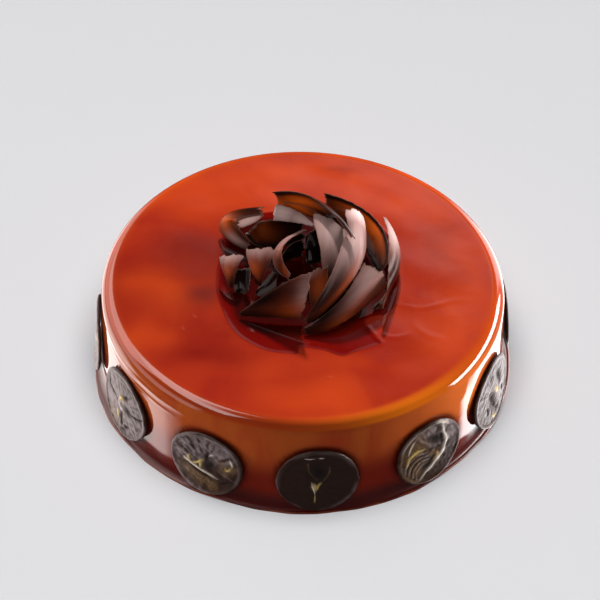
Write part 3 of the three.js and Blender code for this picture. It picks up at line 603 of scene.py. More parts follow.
class DiscSettings(bpy.types.PropertyGroup):
    """Sizes and colours of the chocolate discs"""

    thickness: FloatProperty(
        name="Thickness", description="Thickness of a disc at its lip",
        default=0.0014, min=0.0005, subtype="DISTANCE", unit="LENGTH")
    dish: FloatProperty(
        name="Dish depth", description="How far the face lies below the lip",
        default=0.00035, min=0, subtype="DISTANCE", unit="LENGTH")
    foot_height: FloatProperty(
        name="Foot height", description="Height of a disc's lowest point above the underside of the cake",
        default=0.0014, min=0, subtype="DISTANCE", unit="LENGTH")
    bend: FloatProperty(
        name="Bend radius", description="Radius to which a disc is bent from side to side",
        default=0.094, min=0.02, subtype="DISTANCE", unit="LENGTH")
    chocolate: FloatVectorProperty(
        name="Dark chocolate", description="Colour of the disc", default=(0.030, 0.012, 0.007),
        subtype="COLOR", size=3, min=0, max=1)
    # Painted shade in the creases and hollows
    crease_shade: FloatVectorProperty(
        name="Deep crease", description="Colour inside the creases", default=(0.010, 0.005, 0.004),
        subtype="COLOR", size=3, min=0, max=1)
    # Pale bloom, partly painted sheen, and the painted highlight on the lip
    bloom_and_sheen: FloatVectorProperty(
        name="Grey bloom", description="Pale bloom on the smooth parts", default=(0.235, 0.180, 0.185),
        subtype="COLOR", size=3, min=0, max=1)
    dust: FloatVectorProperty(
        name="Gold dust", description="Thin gold dust over the chocolate", default=(0.165, 0.088, 0.034),
        subtype="COLOR", size=3, min=0, max=1)
    cream: FloatVectorProperty(
        name="Cream ridge", description="Colour of the pale ridges", default=(0.74, 0.64, 0.55),
        subtype="COLOR", size=3, min=0, max=1)
    gold: FloatVectorProperty(
        name="Gold lustre", description="Colour of the gold on the ridges", default=(0.72, 0.52, 0.17),
        subtype="COLOR", size=3, min=0, max=1)


class CurlSettings(bpy.types.PropertyGroup):
    """Sizes and colours of the chocolate curls"""

    thickness: FloatProperty(
        name="Thickness", description="Thickness of a curl away from its edges",
        default=0.0009, min=0.0002, subtype="DISTANCE", unit="LENGTH")
    chocolate: FloatVectorProperty(
        name="Dark chocolate", description="Colour of the curls", default=(0.085, 0.0145, 0.007),
        subtype="COLOR", size=3, min=0, max=1)
    # Painted glow: light shining through thin chocolate, and the orange glaze reflected in it
    painted_glow: FloatVectorProperty(
        name="Warm glow", description="Thin chocolate with light behind it", default=(0.95, 0.15, 0.012),
        subtype="COLOR", size=3, min=0, max=1)
    # Painted shade: the inner side of each curl, its foot and its dark tints
    shaded: FloatVectorProperty(
        name="Hollow side", description="Darker, duller chocolate on the hollow side of a curl",
        default=(0.006, 0.0022, 0.0017), subtype="COLOR", size=3, min=0, max=1)
    # Painted sheen where the upper ends face the light
    pale: FloatVectorProperty(
        name="Shaved face", description="Pale, dry face near the upper ends", default=(0.68, 0.475, 0.45),
        subtype="COLOR", size=3, min=0, max=1)
    # Painted highlight along the thin edges
    edge: FloatVectorProperty(
        name="Torn edge", description="Paler colour of the thin edges", default=(0.16, 0.090, 0.066),
        subtype="COLOR", size=3, min=0, max=1)


class StageSettings(bpy.types.PropertyGroup):
    """Camera, lights and floor"""

    distance: FloatProperty(
        name="Camera distance", description="From the camera to the middle of the cake",
        default=1.3, min=0.1, subtype="DISTANCE", unit="LENGTH")
    elevation: FloatProperty(
        name="Camera elevation", description="Angle of the camera above the floor",
        default=math.radians(44.61), subtype="ANGLE", unit="ROTATION")
    roll: FloatProperty(
        name="Camera roll", description="Turn of the camera about its own axis",
        default=math.radians(1.24), subtype="ANGLE", unit="ROTATION")
    lens: FloatProperty(name="Lens", description="Focal length in millimetres", default=170.4, min=10)
    floor: FloatVectorProperty(
        name="Floor", description="Colour of the plain floor", default=(0.56, 0.572, 0.602),
        subtype="COLOR", size=3, min=0, max=1)
    right_panel: FloatProperty(
        name="Right panel", description="Brightness of the panel on the right", default=20.0, min=0)
    left_panel: FloatProperty(
        name="Left panel", description="Brightness of the panel on the left", default=1.8, min=0)
    lamp_power: FloatProperty(
        name="Lamp power", description="Power that each lamp has a share of",
        default=80.0, min=0, unit="POWER")


class CakeSettings(bpy.types.PropertyGroup):
    """All settings of the caramel cake"""

    glaze: PointerProperty(type=GlazeSettings)
    discs: PointerProperty(type=DiscSettings)
    curls: PointerProperty(type=CurlSettings)
    stage: PointerProperty(type=StageSettings)


def smooth_step(low, high, value):
    """0 at low, 1 at high and a smooth rise between them; low may be the larger one"""
    share = np.clip((value - low) / (high - low), 0.0, 1.0)
    return share * share * (3.0 - 2.0 * share)


def seeded_phases(seed, count):
    """Phases from the multiplicative generator that shapes the solids, so that both have the same edges"""
    modulus = 2147483647
    multiplier = 16807
    seed_step = 7919
    state = seed * seed_step
    phases = []
    for _ in range(count):
        state = (state * multiplier) % modulus
        phases.append(2.0 * math.pi * state / modulus)
    return phases


def through_three(values, share):
    """The quadratic through three values at shares 0, 1/2 and 1"""
    start, middle, end = values
    return (start * 2 * (share - 0.5) * (share - 1) - middle * 4 * share * (share - 1)
            + end * 2 * share * (share - 0.5))


def smooth_path(points, steps=PATH_STEPS):
    """Points along a smooth curve through the given points"""
    given = np.asarray(points, float)
    padded = np.vstack([2 * given[0] - given[1], given, 2 * given[-1] - given[-2]])
    path = []
    for index in range(len(given) - 1):
        a, b, c, d = padded[index:index + 4]
        for step in range(steps):
            t = step / steps
            path.append(0.5 * (2 * b + (c - a) * t + (2 * a - 5 * b + 4 * c - d) * t ** 2
                               + (3 * b - a - 3 * c + d) * t ** 3))
    path.append(given[-1])
    return np.array(path)


def distance_to_path(places, path):
    """Distance from each place to a path of straight steps, and the share along it"""
    best = np.full(len(places), np.inf)
    along = np.zeros(len(places))
    for index in range(len(path) - 1):
        a, b = path[index], path[index + 1]
        line = b - a
        share = np.clip(((places - a) @ line) / max(line @ line, 1e-12), 0.0, 1.0)
        distance = np.linalg.norm(places - a - share[:, None] * line, axis=1)
        nearer = distance < best
        best[nearer] = distance[nearer]
        along[nearer] = (index + share[nearer]) / (len(path) - 1)
    return best, along


def depth_inside(places, outline):
    """Distance of each place from a closed outline, positive inside it"""
    path = smooth_path(outline + outline[:1], OUTLINE_STEPS)
    distance, _ = distance_to_path(places, path)
    inside = np.zeros(len(places), bool)
    for (x1, y1), (x2, y2) in zip(path[:-1], path[1:]):
        between = (y1 > places[:, 1]) != (y2 > places[:, 1])
        if y1 != y2:
            inside ^= between & (places[:, 0] < x1 + (places[:, 1] - y1) * (x2 - x1) / (y2 - y1))
    return np.where(inside, distance, -distance)


def wave_noise(places, seed, wavelength, count=WAVES):
    """Smooth seeded noise from crossing waves, about -1 to 1"""
    draw = random.Random(seed)
    total = np.zeros(len(places))
    for _ in range(count):
        way = np.array([draw.gauss(0, 1) for _ in range(places.shape[1])])
        way /= np.linalg.norm(way)
        stretch = wavelength * draw.uniform(0.6, 1.7)
        total += np.sin(places @ way * (2 * math.pi / stretch) + draw.uniform(0, 2 * math.pi))
    return total / math.sqrt(count)


def grid_faces(rows, columns, wrap):
    """Quads of a grid of points stored row by row; wrap joins the last column to the first"""
    across = columns if wrap else columns - 1
    row, column = np.meshgrid(np.arange(rows - 1), np.arange(across), indexing="ij")
    after = (column + 1) % columns
    quads = np.stack([row * columns + column, row * columns + after,
                      (row + 1) * columns + after, (row + 1) * columns + column], axis=-1)
    return quads.reshape(-1, 4)


def make_piece(name, points, faces, material, masks, sharp_angle):
    """A closed mesh object with its faces pointing out, its masks as point attributes and edges that are
    sharp from the given angle in degrees"""
    mesh = bpy.data.meshes.new(name)
    mesh.from_pydata(points.tolist(), [], faces)
    mesh.validate()
    six_volumes = 0.0
    mesh.calc_loop_triangles()
    for triangle in mesh.loop_triangles:
        a, b, c = (mesh.vertices[index].co for index in triangle.vertices)
        six_volumes += a.dot(b.cross(c))
    if six_volumes < 0:
        mesh.flip_normals()
    mesh.shade_smooth()
    mesh.set_sharp_from_angle(angle=math.radians(sharp_angle))
    for label, values in masks.items():
        layer = mesh.attributes.new(label, "FLOAT", "POINT")
        layer.data.foreach_set("value", np.asarray(values, np.float32))
    mesh.materials.append(material)
    mesh.update()
    piece = bpy.data.objects.new(name, mesh)
    bpy.context.scene.collection.objects.link(piece)
    return piece


class Nodes:
    """Short words for building a material's or the world's nodes"""

    def __init__(self, owner):
        owner.use_nodes = True
        self.tree = owner.node_tree
        self.tree.nodes.clear()

    def add(self, kind, **settings):
        """A new node with some of its settings"""
        node = self.tree.nodes.new(kind)
        for key, value in settings.items():
            setattr(node, key, value)
        return node

    def join(self, source, target):
        self.tree.links.new(source, target)

    def fill(self, socket, value):
        """Links another node's output to a socket, or sets the socket to a plain value"""
        if isinstance(value, bpy.types.NodeSocket):
            self.join(value, socket)
        else:
            socket.default_value = value

    def mask(self, label):
        """One of the masks that make_piece stored in the mesh"""
        return self.add("ShaderNodeAttribute", attribute_name=label).outputs["Fac"]

    def place(self):
        """Place on the piece, in metres"""
        return self.add("ShaderNodeTexCoord").outputs["Object"]

    def stretched(self, place, scale):
        node = self.add("ShaderNodeMapping")
        self.join(place, node.inputs["Vector"])
        node.inputs["Scale"].default_value = scale
        return node.outputs["Vector"]

    def noise(self, place, scale, detail=2.0, roughness=0.5, distortion=0.0):
        node = self.add("ShaderNodeTexNoise")
        self.join(place, node.inputs["Vector"])
        node.inputs["Scale"].default_value = scale
        node.inputs["Detail"].default_value = detail
        node.inputs["Roughness"].default_value = roughness
        node.inputs["Distortion"].default_value = distortion
        return node.outputs["Fac"]

    def math(self, operation, first, second):
        node = self.add("ShaderNodeMath", operation=operation)
        self.fill(node.inputs[0], first)
        self.fill(node.inputs[1], second)
        return node.outputs[0]

    def spread(self, value, low, high, new_low=0.0, new_high=1.0):
        """Smooth change from new_low, where the value is low, to new_high, where it is high"""
        node = self.add("ShaderNodeMapRange", interpolation_type="SMOOTHSTEP")
        self.fill(node.inputs["Value"], value)
        limits = {"From Min": low, "From Max": high, "To Min": new_low, "To Max": new_high}
        for label, number in limits.items():
            node.inputs[label].default_value = number
        return node.outputs["Result"]

    def mix(self, share, first, second):
        """The first colour turning into the second as the share goes from 0 to 1"""
        node = self.add("ShaderNodeMix", data_type="RGBA")
        self.fill(node.inputs["Factor"], share)
        for socket, value in ((node.inputs[6], first), (node.inputs[7], second)):
            self.fill(socket, value if isinstance(value, bpy.types.NodeSocket) else (*value, 1.0))
        return node.outputs[2]

    def paint(self, colour, label, tint):
        """The colour, turned into the tint where a mask is 1"""
        return self.mix(self.mask(label), colour, tint)

    def broken(self, label, noise, low, high, least, most):
        """A mask broken up by a noise, with its least share where the noise is low"""
        return self.math("MULTIPLY", self.mask(label), self.spread(noise, low, high, least, most))

    def bump(self, height, strength, distance):
        node = self.add("ShaderNodeBump")
        node.inputs["Strength"].default_value = strength
        node.inputs["Distance"].default_value = distance
        self.join(height, node.inputs["Height"])
        return node.outputs["Normal"]

    def surface(self, **sockets):
        """The shader, with its sockets named with _ for each space"""
        shader = self.add("ShaderNodeBsdfPrincipled")
        for label, value in sockets.items():
            self.fill(shader.inputs[label.replace("_", " ")], value)
        output = self.add("ShaderNodeOutputMaterial")
        self.join(shader.outputs[0], output.inputs["Surface"])


def glaze_material(settings):
    """Mirror-glossy caramel: clouds of orange and red on top with painted shade round and under the heap,
    brown sides with a painted orange glow, an amber rim with a painted glow, burgundy foot and painted shade
    round the discs
    """
    material = bpy.data.materials.new("caramel_glaze")
    nodes = Nodes(material)
    place = nodes.place()
    haze = nodes.noise(place, 28.0, detail=3.0, distortion=0.8)
    upright = nodes.stretched(place, (1.0, 1.0, 0.35))
    streaks = nodes.noise(upright, 60.0, detail=3.0, roughness=0.6, distortion=0.4)
    bright = nodes.math("ADD", nodes.mask("bright"), nodes.spread(haze, 0.30, 0.70, -0.12, 0.25))
    top = nodes.mix(bright, settings.red, settings.orange)
    # Brownish clouds, partly painted shade left of the heap
    top = nodes.paint(top, "dull_and_shade", settings.dull_and_shade)
    top = nodes.paint(top, "deep", settings.deep)
    # Painted shadow and reflection of the heap
    top = nodes.paint(top, "pool", settings.pool)
    # Painted shade under the heap
    top = nodes.paint(top, "core", settings.core)
    # Painted amber glow along the rim
    top = nodes.paint(top, "rim", settings.amber)
    redness = nodes.spread(streaks, 0.40, 0.80, 0.0, 0.6)
    side = nodes.mix(redness, settings.brown, settings.red)
    # Painted orange glow on the side
    side = nodes.paint(side, "side_glow", settings.side_orange)
    side = nodes.paint(side, "low", settings.low_red)
    colour = nodes.mix(nodes.mask("side"), top, side)
    # Painted shade round the discs
    colour = nodes.paint(colour, "disc_shadow", settings.burgundy)
    colour = nodes.paint(colour, "foot", settings.burgundy)
    lip = nodes.broken("edge", streaks, 0.35, 0.65, 0.0, 0.6)
    colour = nodes.mix(lip, colour, settings.brown)
    roughness = nodes.math("ADD", 0.04, nodes.math("MULTIPLY", nodes.mask("foot"), 0.3))
    ripple = nodes.bump(nodes.noise(place, 70.0, roughness=0.4), strength=0.06, distance=0.001)
    nodes.surface(Base_Color=colour, Roughness=roughness, IOR=1.55, Normal=ripple)
    return material


def disc_material(settings):
    """Dark chocolate with a pale bloom that is partly painted sheen, a painted highlight on the lip, painted
    shade in the creases, cream ridges and gold lustre
    """
    material = bpy.data.materials.new("disc_chocolate")
    nodes = Nodes(material)
    place = nodes.place()
    mottle = nodes.noise(place, 420.0, detail=4.0, roughness=0.6)
    dust = nodes.noise(place, 1600.0, roughness=0.6)
    # Pale bloom, partly painted sheen, with the painted highlight on the lip
    bloom_and_sheen = nodes.broken("bloom_and_sheen", mottle, 0.30, 0.70, 0.45, 1.0)
    colour = nodes.mix(bloom_and_sheen, settings.chocolate, settings.bloom_and_sheen)
    gilt = nodes.broken("dust", dust, 0.35, 0.65, 0.2, 1.0)
    colour = nodes.mix(gilt, colour, settings.dust)
    gold = nodes.broken("gold", dust, 0.25, 0.60, 0.55, 1.0)
    colour = nodes.mix(gold, colour, settings.gold)
    cream = nodes.broken("cream", mottle, 0.20, 0.60, 0.6, 1.0)
    colour = nodes.mix(cream, colour, settings.cream)
    # Painted shade: creases and hollows darkened to near black
    deep = nodes.mask("deep")
    colour = nodes.mix(deep, colour, settings.crease_shade)
    roughness = nodes.spread(mottle, 0.2, 0.8, 0.34, 0.48)
    roughness = nodes.math("ADD", roughness, nodes.math("MULTIPLY", deep, 0.4))
    metal = nodes.math("MULTIPLY", gold, 0.5)
    grain = nodes.noise(place, 900.0, detail=3.0, roughness=0.6)
    grain = nodes.bump(grain, strength=0.20, distance=0.0002)
    nodes.surface(Base_Color=colour, Metallic=metal, Roughness=roughness, IOR=1.33, Normal=grain)
    return material


def curl_material(settings):
    """Satin dark chocolate with faint shaving lines along each curl, pale ends of painted sheen, paler torn
    edges of painted highlight, painted shade and painted glow
    """
    material = bpy.data.materials.new("curl_chocolate")
    nodes = Nodes(material)
    place = nodes.place()
    lines = nodes.add("ShaderNodeCombineXYZ")
    nodes.join(nodes.mask("across"), lines.inputs["X"])
    nodes.join(nodes.mask("along"), lines.inputs["Y"])
    lengthwise = nodes.stretched(lines.outputs[0], (1.0, 0.06, 1.0))
    shaved = nodes.noise(lengthwise, 900.0, detail=3.0, roughness=0.6)
    mottle = nodes.noise(place, 160.0, detail=3.0)
    brown = tuple(channel * factor for channel, factor in zip(settings.chocolate, CURL_MOTTLE))
    colour = nodes.mix(nodes.spread(mottle, 0.35, 0.70), settings.chocolate, brown)
    # Painted shade on the inner side, the foot and the dark tints
    colour = nodes.paint(colour, "painted_shade", settings.shaded)
    # Painted sheen on the upper ends
    sheen = nodes.broken("pale", shaved, 0.25, 0.75, 0.88, 1.05)
    colour = nodes.mix(sheen, colour, settings.pale)
    # Painted glow of light through thin chocolate and of the reflected orange glaze
    colour = nodes.paint(colour, "painted_glow", settings.painted_glow)
    # Painted highlight along the edges
    colour = nodes.paint(colour, "edge", settings.edge)
    roughness = nodes.spread(shaved, 0.25, 0.75, 0.26, 0.36)
    roughness = nodes.math("SUBTRACT", roughness, nodes.math("MULTIPLY", nodes.mask("painted_shade"), 0.17))
    grooves = nodes.bump(shaved, strength=0.10, distance=0.0003)
    nodes.surface(Base_Color=colour, Roughness=roughness, IOR=1.16, Normal=grooves)
    return material


def floor_material(settings):
    """Plain pale floor with a very faint mottle"""
    material = bpy.data.materials.new("pale_floor")
    nodes = Nodes(material)
    mottle = nodes.noise(nodes.place(), 6.0)
    darker = tuple(channel * FLOOR_MOTTLE for channel in settings.floor)
    colour = nodes.mix(mottle, settings.floor, darker)
    nodes.surface(Base_Color=colour, Roughness=0.6)
    return material


def bend(start, corner, end, steps):
    """Points of a quadratic curve after its start"""
    share = np.linspace(0.0, 1.0, steps + 1)[1:, None]
    start, corner, end = np.array(start), np.array(corner), np.array(end)
    return (1 - share) ** 2 * start + 2 * share * (1 - share) * corner + share ** 2 * end


def cake_profile(settings):
    """Radius and height of the cake's outline, from the middle of its top to the middle of its underside"""
    shares = np.linspace(FIRST_TOP_RING, 1.0, TOP_RINGS)
    top = np.stack([settings.flat * shares, np.full(TOP_RINGS, CAKE_TOP)], axis=1)
    turn = np.linspace(0.0, settings.rim_turn, RIM_RINGS + 1)[1:]
    rim = np.stack([settings.flat + settings.rim * np.sin(turn),
                    CAKE_TOP - settings.rim * (1 - np.cos(turn))], axis=1)
    shoulder = (settings.shoulder, settings.shoulder_height)
    wall_end = (settings.wall_foot, settings.sweep)
    rim_slope = 1.0 / math.tan(settings.rim_turn)
    wall_slope = (wall_end[0] - shoulder[0]) / (shoulder[1] - wall_end[1])
    height = ((rim[-1, 0] + rim_slope * rim[-1, 1] - shoulder[0] - wall_slope * shoulder[1])
              / (rim_slope - wall_slope))
    corner = (rim[-1, 0] + rim_slope * (rim[-1, 1] - height), height)
    halfway = (0.5 * (shoulder[0] + wall_end[0]), 0.5 * (shoulder[1] + wall_end[1]))
    lip_start = (settings.foot - settings.lip, settings.lip)
    return np.vstack([
        top,
        rim,
        bend(rim[-1], corner, shoulder, SHOULDER_RINGS),
        bend(shoulder, halfway, wall_end, WALL_RINGS),
        bend(wall_end, (settings.wall_foot + settings.lip, settings.lip), lip_start, SWEEP_RINGS),
        bend(lip_start, (settings.foot, settings.lip), (settings.foot, 0.0), LIP_RINGS),
        [(settings.foot * share, 0.0) for share in UNDERSIDE_RINGS],
    ])


def side_radius(settings, radius, height, angle, azimuth):
    """Distance of each point from the cake's axis, with the waves, runs and ribbons of the set glaze"""
    reach = np.clip((radius - settings.wall_foot) / (settings.foot - settings.wall_foot), 0.0, 1.0)
    low = smooth_step(settings.sweep, settings.lip, height)
    waves = FOOT_WAVES + FINE_FOOT_WAVES
    wander = sum(size * np.sin(count * angle + phase) for size, count, phase in waves)
    run_start, run_full = (CAKE_TOP - share * settings.rim for share in RUN_START)
    wall = smooth_step(run_start, run_full, height) * smooth_step(0.5 * settings.lip, settings.sweep, height)
    runs = sum(size * np.sin(count * angle + phase + RUN_SLANT * height) for size, count, phase in SIDE_RUNS)
    out = radius + MM * (wander * reach * low + (runs - RUN_ROOM) * wall)
    for first, last, start, end, width, rise in RIBBONS:
        along = np.clip((azimuth - start) / (end - start), 0.0, 1.0)
        off = height / MM - (first + (last - first) * along)
        out += MM * rise * np.sin(math.pi * along) * np.exp(-((off / width) ** 2))
    return out


def top_lift(places, inner, depth):
    """Rise of the flat top in millimetres: slow waves, bubbles, trails and the bead round the painted heap
    shadow
    """
    lift = np.zeros(len(places))
    for size, wavelength, direction in TOP_WAVES:
        turn = math.radians(direction)
        travel = places[:, 0] * math.cos(turn) + places[:, 1] * math.sin(turn)
        lift += size * np.sin(travel * 2 * math.pi / wavelength + direction)
    lift = (lift - WAVE_ROOM) * inner
    for x, y, size, rise in BUBBLES:
        distance = np.hypot(places[:, 0] - x, places[:, 1] - y)
        lift += rise * np.exp(-((distance / size) ** 2))
    for path, width, rise in TRAILS:
        distance, along = distance_to_path(places, smooth_path(path))
        fade = np.sin(math.pi * np.clip(along, TRAIL_CUT, 1 - TRAIL_CUT))
        lift += rise * fade * np.exp(-((distance / width) ** 2)) * inner
    bead_height, bead_width = HEAP_SHADOW_BEAD
    return lift + bead_height * np.exp(-((depth / bead_width) ** 2))


def cloud_masks(places):
    """How strong each kind of cloud is at each place"""
    clouds = {kind: np.zeros(len(places)) for kind in ("bright", "dull_and_shade", "deep")}
    waves = [wave_noise(places, seed, CLOUD_DRIFT_LENGTH) for seed in CLOUD_SEEDS]
    drift = places + CLOUD_DRIFT * np.stack(waves, axis=1)
    for kind, x, y, reach_x, reach_y, strength in CLOUDS:
        cloud = strength * np.exp(-((drift[:, 0] - x) / reach_x) ** 2 - ((drift[:, 1] - y) / reach_y) ** 2)
        clouds[kind] = np.maximum(clouds[kind], cloud)
    return clouds


def disc_shadow_mask(disc_foot, radius, height, azimuth):
    """How strong the painted shade round the discs is at each point"""
    disc_shadow = np.zeros(len(radius))
    for disc_azimuth, disc_radius, *_ in DISCS:
        aside = np.radians((azimuth - disc_azimuth + 180) % 360 - 180) * radius / MM
        gap = np.hypot(aside, (height - disc_foot) / MM - disc_radius) - disc_radius
        disc_shadow = np.maximum(disc_shadow, np.exp(-((np.clip(gap, 0, None) / DISC_SHADOW_REACH) ** 2)))
    return DISC_SHADOW_STRENGTH * disc_shadow


def glaze_points(settings, disc_foot):
    """Points of the glazed cake, ring by ring, the masks that colour it, and how many rings it has"""
    outline = cake_profile(settings)
    radius = np.repeat(outline[:, 0], settings.sides)
    height = np.repeat(outline[:, 1], settings.sides)
    angle = np.tile(np.arange(settings.sides) * (2 * math.pi / settings.sides), len(outline))
    azimuth = np.degrees((angle + math.pi) % (2 * math.pi) - math.pi)
    out = side_radius(settings, radius, height, angle, azimuth)
    across, away = out * np.sin(angle), -out * np.cos(angle)
    places = np.stack([across, away], axis=1) / MM

    flat, rim, lip = settings.flat, settings.rim, settings.lip
    on_top = height > CAKE_TOP - 1e-6
    pool = np.full(len(radius), -np.inf)
    core = np.full(len(radius), -np.inf)
    pool[on_top] = depth_inside(places[on_top], HEAP_SHADOW_OUTLINE)
    core[on_top] = depth_inside(places[on_top], HEAP_SHADOW_CORE_OUTLINE)
    inner = 1.0 - smooth_step(WAVES_END * flat, flat, radius[on_top])
    lift = np.zeros(len(radius))
    lift[on_top] = top_lift(places[on_top], inner, pool[on_top])
    points = np.stack([across, away, height + MM * lift], axis=1)

    tilt = np.degrees(np.arctan2(radius - flat, height - (CAKE_TOP - rim)))
    tilt = np.where(on_top, 0.0, np.where(height > CAKE_TOP - rim, tilt, 90.0))
    # Painted glow of the rim, strongest at one azimuth
    glow = GLOW_EVERYWHERE + (1 - GLOW_EVERYWHERE) * np.exp(-(((azimuth - GLOW_AZIMUTH) / GLOW_SPREAD) ** 2))
    amber_start, amber_full = (flat + share * rim for share in AMBER_FADE)
    low_line = sum((size * np.sin(count * angle + phase) for size, count, phase in LOW_WAVES), LOW_WALL)
    foot_start, foot_full = (share * settings.sweep for share in FOOT_FADE)
    line_start, line_full = (settings.foot - share * lip for share in LIP_LINE)
    lip_line = smooth_step(line_start, line_full, radius) * smooth_step(0.0, LIP_LINE_HEIGHT * lip, height)
    masks = {
        **cloud_masks(places),
        # Painted orange glow on the side
        "side_glow": np.exp(-(((azimuth - SIDE_GLOW[0]) / SIDE_GLOW[1]) ** 2)),
        # Painted shadow and reflection of the heap
        "pool": smooth_step(-HEAP_SHADOW_FADE, HEAP_SHADOW_FADE, pool),
        # Painted shade under the heap
        "core": smooth_step(-HEAP_SHADOW_CORE_FADE, HEAP_SHADOW_CORE_FADE, core),
        "side": smooth_step(*RIM_FADE, tilt),
        # Painted amber glow along the rim
        "rim": glow * smooth_step(amber_start, amber_full, radius),
        # Painted shade round the discs
        "disc_shadow": disc_shadow_mask(disc_foot, radius, height, azimuth),
        "low": smooth_step(low_line + LOW_FADE, low_line - LOW_FADE, height),
        "foot": FOOT_STRENGTH * smooth_step(foot_start, foot_full, height),
        "edge": LIP_STRENGTH * lip_line,
    }
    return points, masks, len(outline)


class CARAMEL_CAKE_OT_glazed_cake(bpy.types.Operator):
    """Pours the glazed cake: flat top, rounded rim, wavy side and the thin foot of set glaze"""

    bl_idname = "caramel_cake.glazed_cake"
    bl_label = "Pour Glazed Cake"

    def execute(self, context):
        settings = context.scene.caramel_cake.glaze
        points, masks, rings = glaze_points(settings, context.scene.caramel_cake.discs.foot_height)
        sides = settings.sides
        faces = grid_faces(rings, sides, True).tolist()
        top, bottom = len(points), len(points) + 1
        last = (rings - 1) * sides
        for side in range(sides):
            after = (side + 1) % sides
            faces.append((top, after, side))
            faces.append((bottom, last + side, last + after))
        points = np.vstack([points, (0.0, 0.0, points[:sides, 2].mean()), (0.0, 0.0, 0.0)])
        masks = {label: np.append(values, (values[0], values[-1])) for label, values in masks.items()}
        material = glaze_material(settings)
        piece = make_piece("glazed_cake_pour", points, faces, material, masks, sharp_angle=60)
        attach(piece, "root")
        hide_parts("glazed_cake")
        return {"FINISHED"}


def disc_noise(kind, places, number):
    """Noise of one kind, different on each disc"""
    seed, wavelength, count = DISC_NOISE[kind]
    return wave_noise(places, seed + number, wavelength, count)


def disc_outline(number, face, turn, angles):
    """Distance of a disc's edge from its middle all round, as a share of its radius"""
    waves = zip(DISC_OUTLINE_WAVES, seeded_phases(number, len(DISC_OUTLINE_WAVES)))
    outline = 1.0 + sum(share * np.sin(count * angles + phase) for (share, count), phase in waves)
    outline += sum(share * np.sin(count * angles + factor * number)
                   for share, count, factor in FINE_OUTLINE_WAVES)
    if "nub" in face:
        from_nub = (angles - math.radians(turn + face["nub"]) + math.pi) % (2 * math.pi) - math.pi
        outline += NUB_SHARE * np.exp(-((from_nub / NUB_REACH) ** 2))
    return outline


def drawn_marks(face, number, unit):
    """Rise of a face's strokes and hollows in millimetres, and how strong each kind of mark is"""
    rise = np.zeros(len(unit))
    drawn = {kind: np.zeros(len(unit)) for kind in ("bloom_and_sheen", "dust", "gold", "cream", "crease")}
    wobble = 1.0 + STROKE_WOBBLE * disc_noise("stroke", unit, number)
    for kind, width, height, path in face["strokes"]:
        distance, along = distance_to_path(unit, smooth_path(path))
        taper = np.sqrt(np.sin(math.pi * np.clip(along, STROKE_CUT, 1 - STROKE_CUT)))
        if kind in ("bloom_and_sheen", "dust"):
            taper = np.ones(len(unit))
        half_width = width * wobble * (STROKE_TIP + (1 - STROKE_TIP) * taper)
        line = np.exp(-((distance / half_width) ** 2)) * taper
        rise += height * line
        drawn[kind] = np.maximum(drawn[kind], line)
    for x, y, long, short, lean, depth in face["hollows"]:
        way = math.radians(lean)
        shift = unit - (x, y)
        along = (shift[:, 0] * math.cos(way) + shift[:, 1] * math.sin(way)) / long
        across = (shift[:, 1] * math.cos(way) - shift[:, 0] * math.sin(way)) / short
        dip = np.exp(-(along ** 2 + across ** 2))
        rise -= depth * dip
        drawn["crease"] = np.maximum(drawn["crease"], dip)
    return rise, drawn


def disc_points(settings, number, radius, face_name, turn):
    """Points of one disc lying on its back, the masks that colour it, and how many rings it has"""
    face = DISC_FACES[face_name]
    angles = np.arange(DISC_STEPS) * (2 * math.pi / DISC_STEPS)
    outline = disc_outline(number, face, turn, angles)
    share = np.repeat(np.linspace(FIRST_DISC_RING, 1.0, DISC_RINGS), DISC_STEPS)
    angle = np.tile(angles, DISC_RINGS)
    turned = angle - math.radians(turn)
    around = np.stack([np.cos(turned), np.sin(turned)], axis=1)
    unit = share[:, None] * around

    rise, drawn = drawn_marks(face, number, unit)
    fold = disc_noise("fold", around, number)
    fold *= smooth_step(*FOLDS_BEGIN, share) * (1 - smooth_step(*FOLDS_END, share))
    grain = disc_noise("grain", unit, number)
    rise += face["wrinkle"] * fold + FACE_GRAIN * grain
    rise *= 1 - smooth_step(*FACE_END, share)
    lip_end = smooth_step(*LIP_FALL, share)
    lip = smooth_step(*LIP_RISE, share) * (1 - lip_end)
    height = settings.thickness - settings.dish + MM * rise + settings.dish * (lip - LIP_ROUNDING * lip_end)
    unbroken = smooth_step(*LIP_BREAK_FADE, disc_noise("lip_break", unit, number))
    bloom_and_sheen = drawn["bloom_and_sheen"] * (BLOOM_STRENGTH + BLOOM_ON_GRAIN * grain + BLOOM_ON_FOLDS * fold)

    size = radius * share * np.tile(outline, DISC_RINGS)
    rings = [np.stack([size * np.cos(angle), size * np.sin(angle), height], axis=1)]
    for inner, level in DISC_BACK:
        size = radius * outline * inner
        flat = np.full(DISC_STEPS, level * settings.thickness)
        rings.append(np.stack([size * np.cos(angles), size * np.sin(angles), flat], axis=1))
    points = np.vstack(rings)
    points[:, 2] -= points[:, 0] ** 2 / (2 * settings.bend)
    marks = {
        # The lip's share is a painted highlight along the lip, broken up by noise
        "bloom_and_sheen": np.maximum(np.clip(bloom_and_sheen, 0, 1), face["lip"] * lip * unbroken),
        "dust": drawn["dust"],
        "gold": drawn["gold"] * (1 - drawn["cream"]),
        "cream": drawn["cream"],
        "deep": drawn["crease"],
    }
    plain = np.zeros(len(DISC_BACK) * DISC_STEPS)
    masks = {label: np.append(values, plain) for label, values in marks.items()}
    return points, masks, DISC_RINGS + len(DISC_BACK)


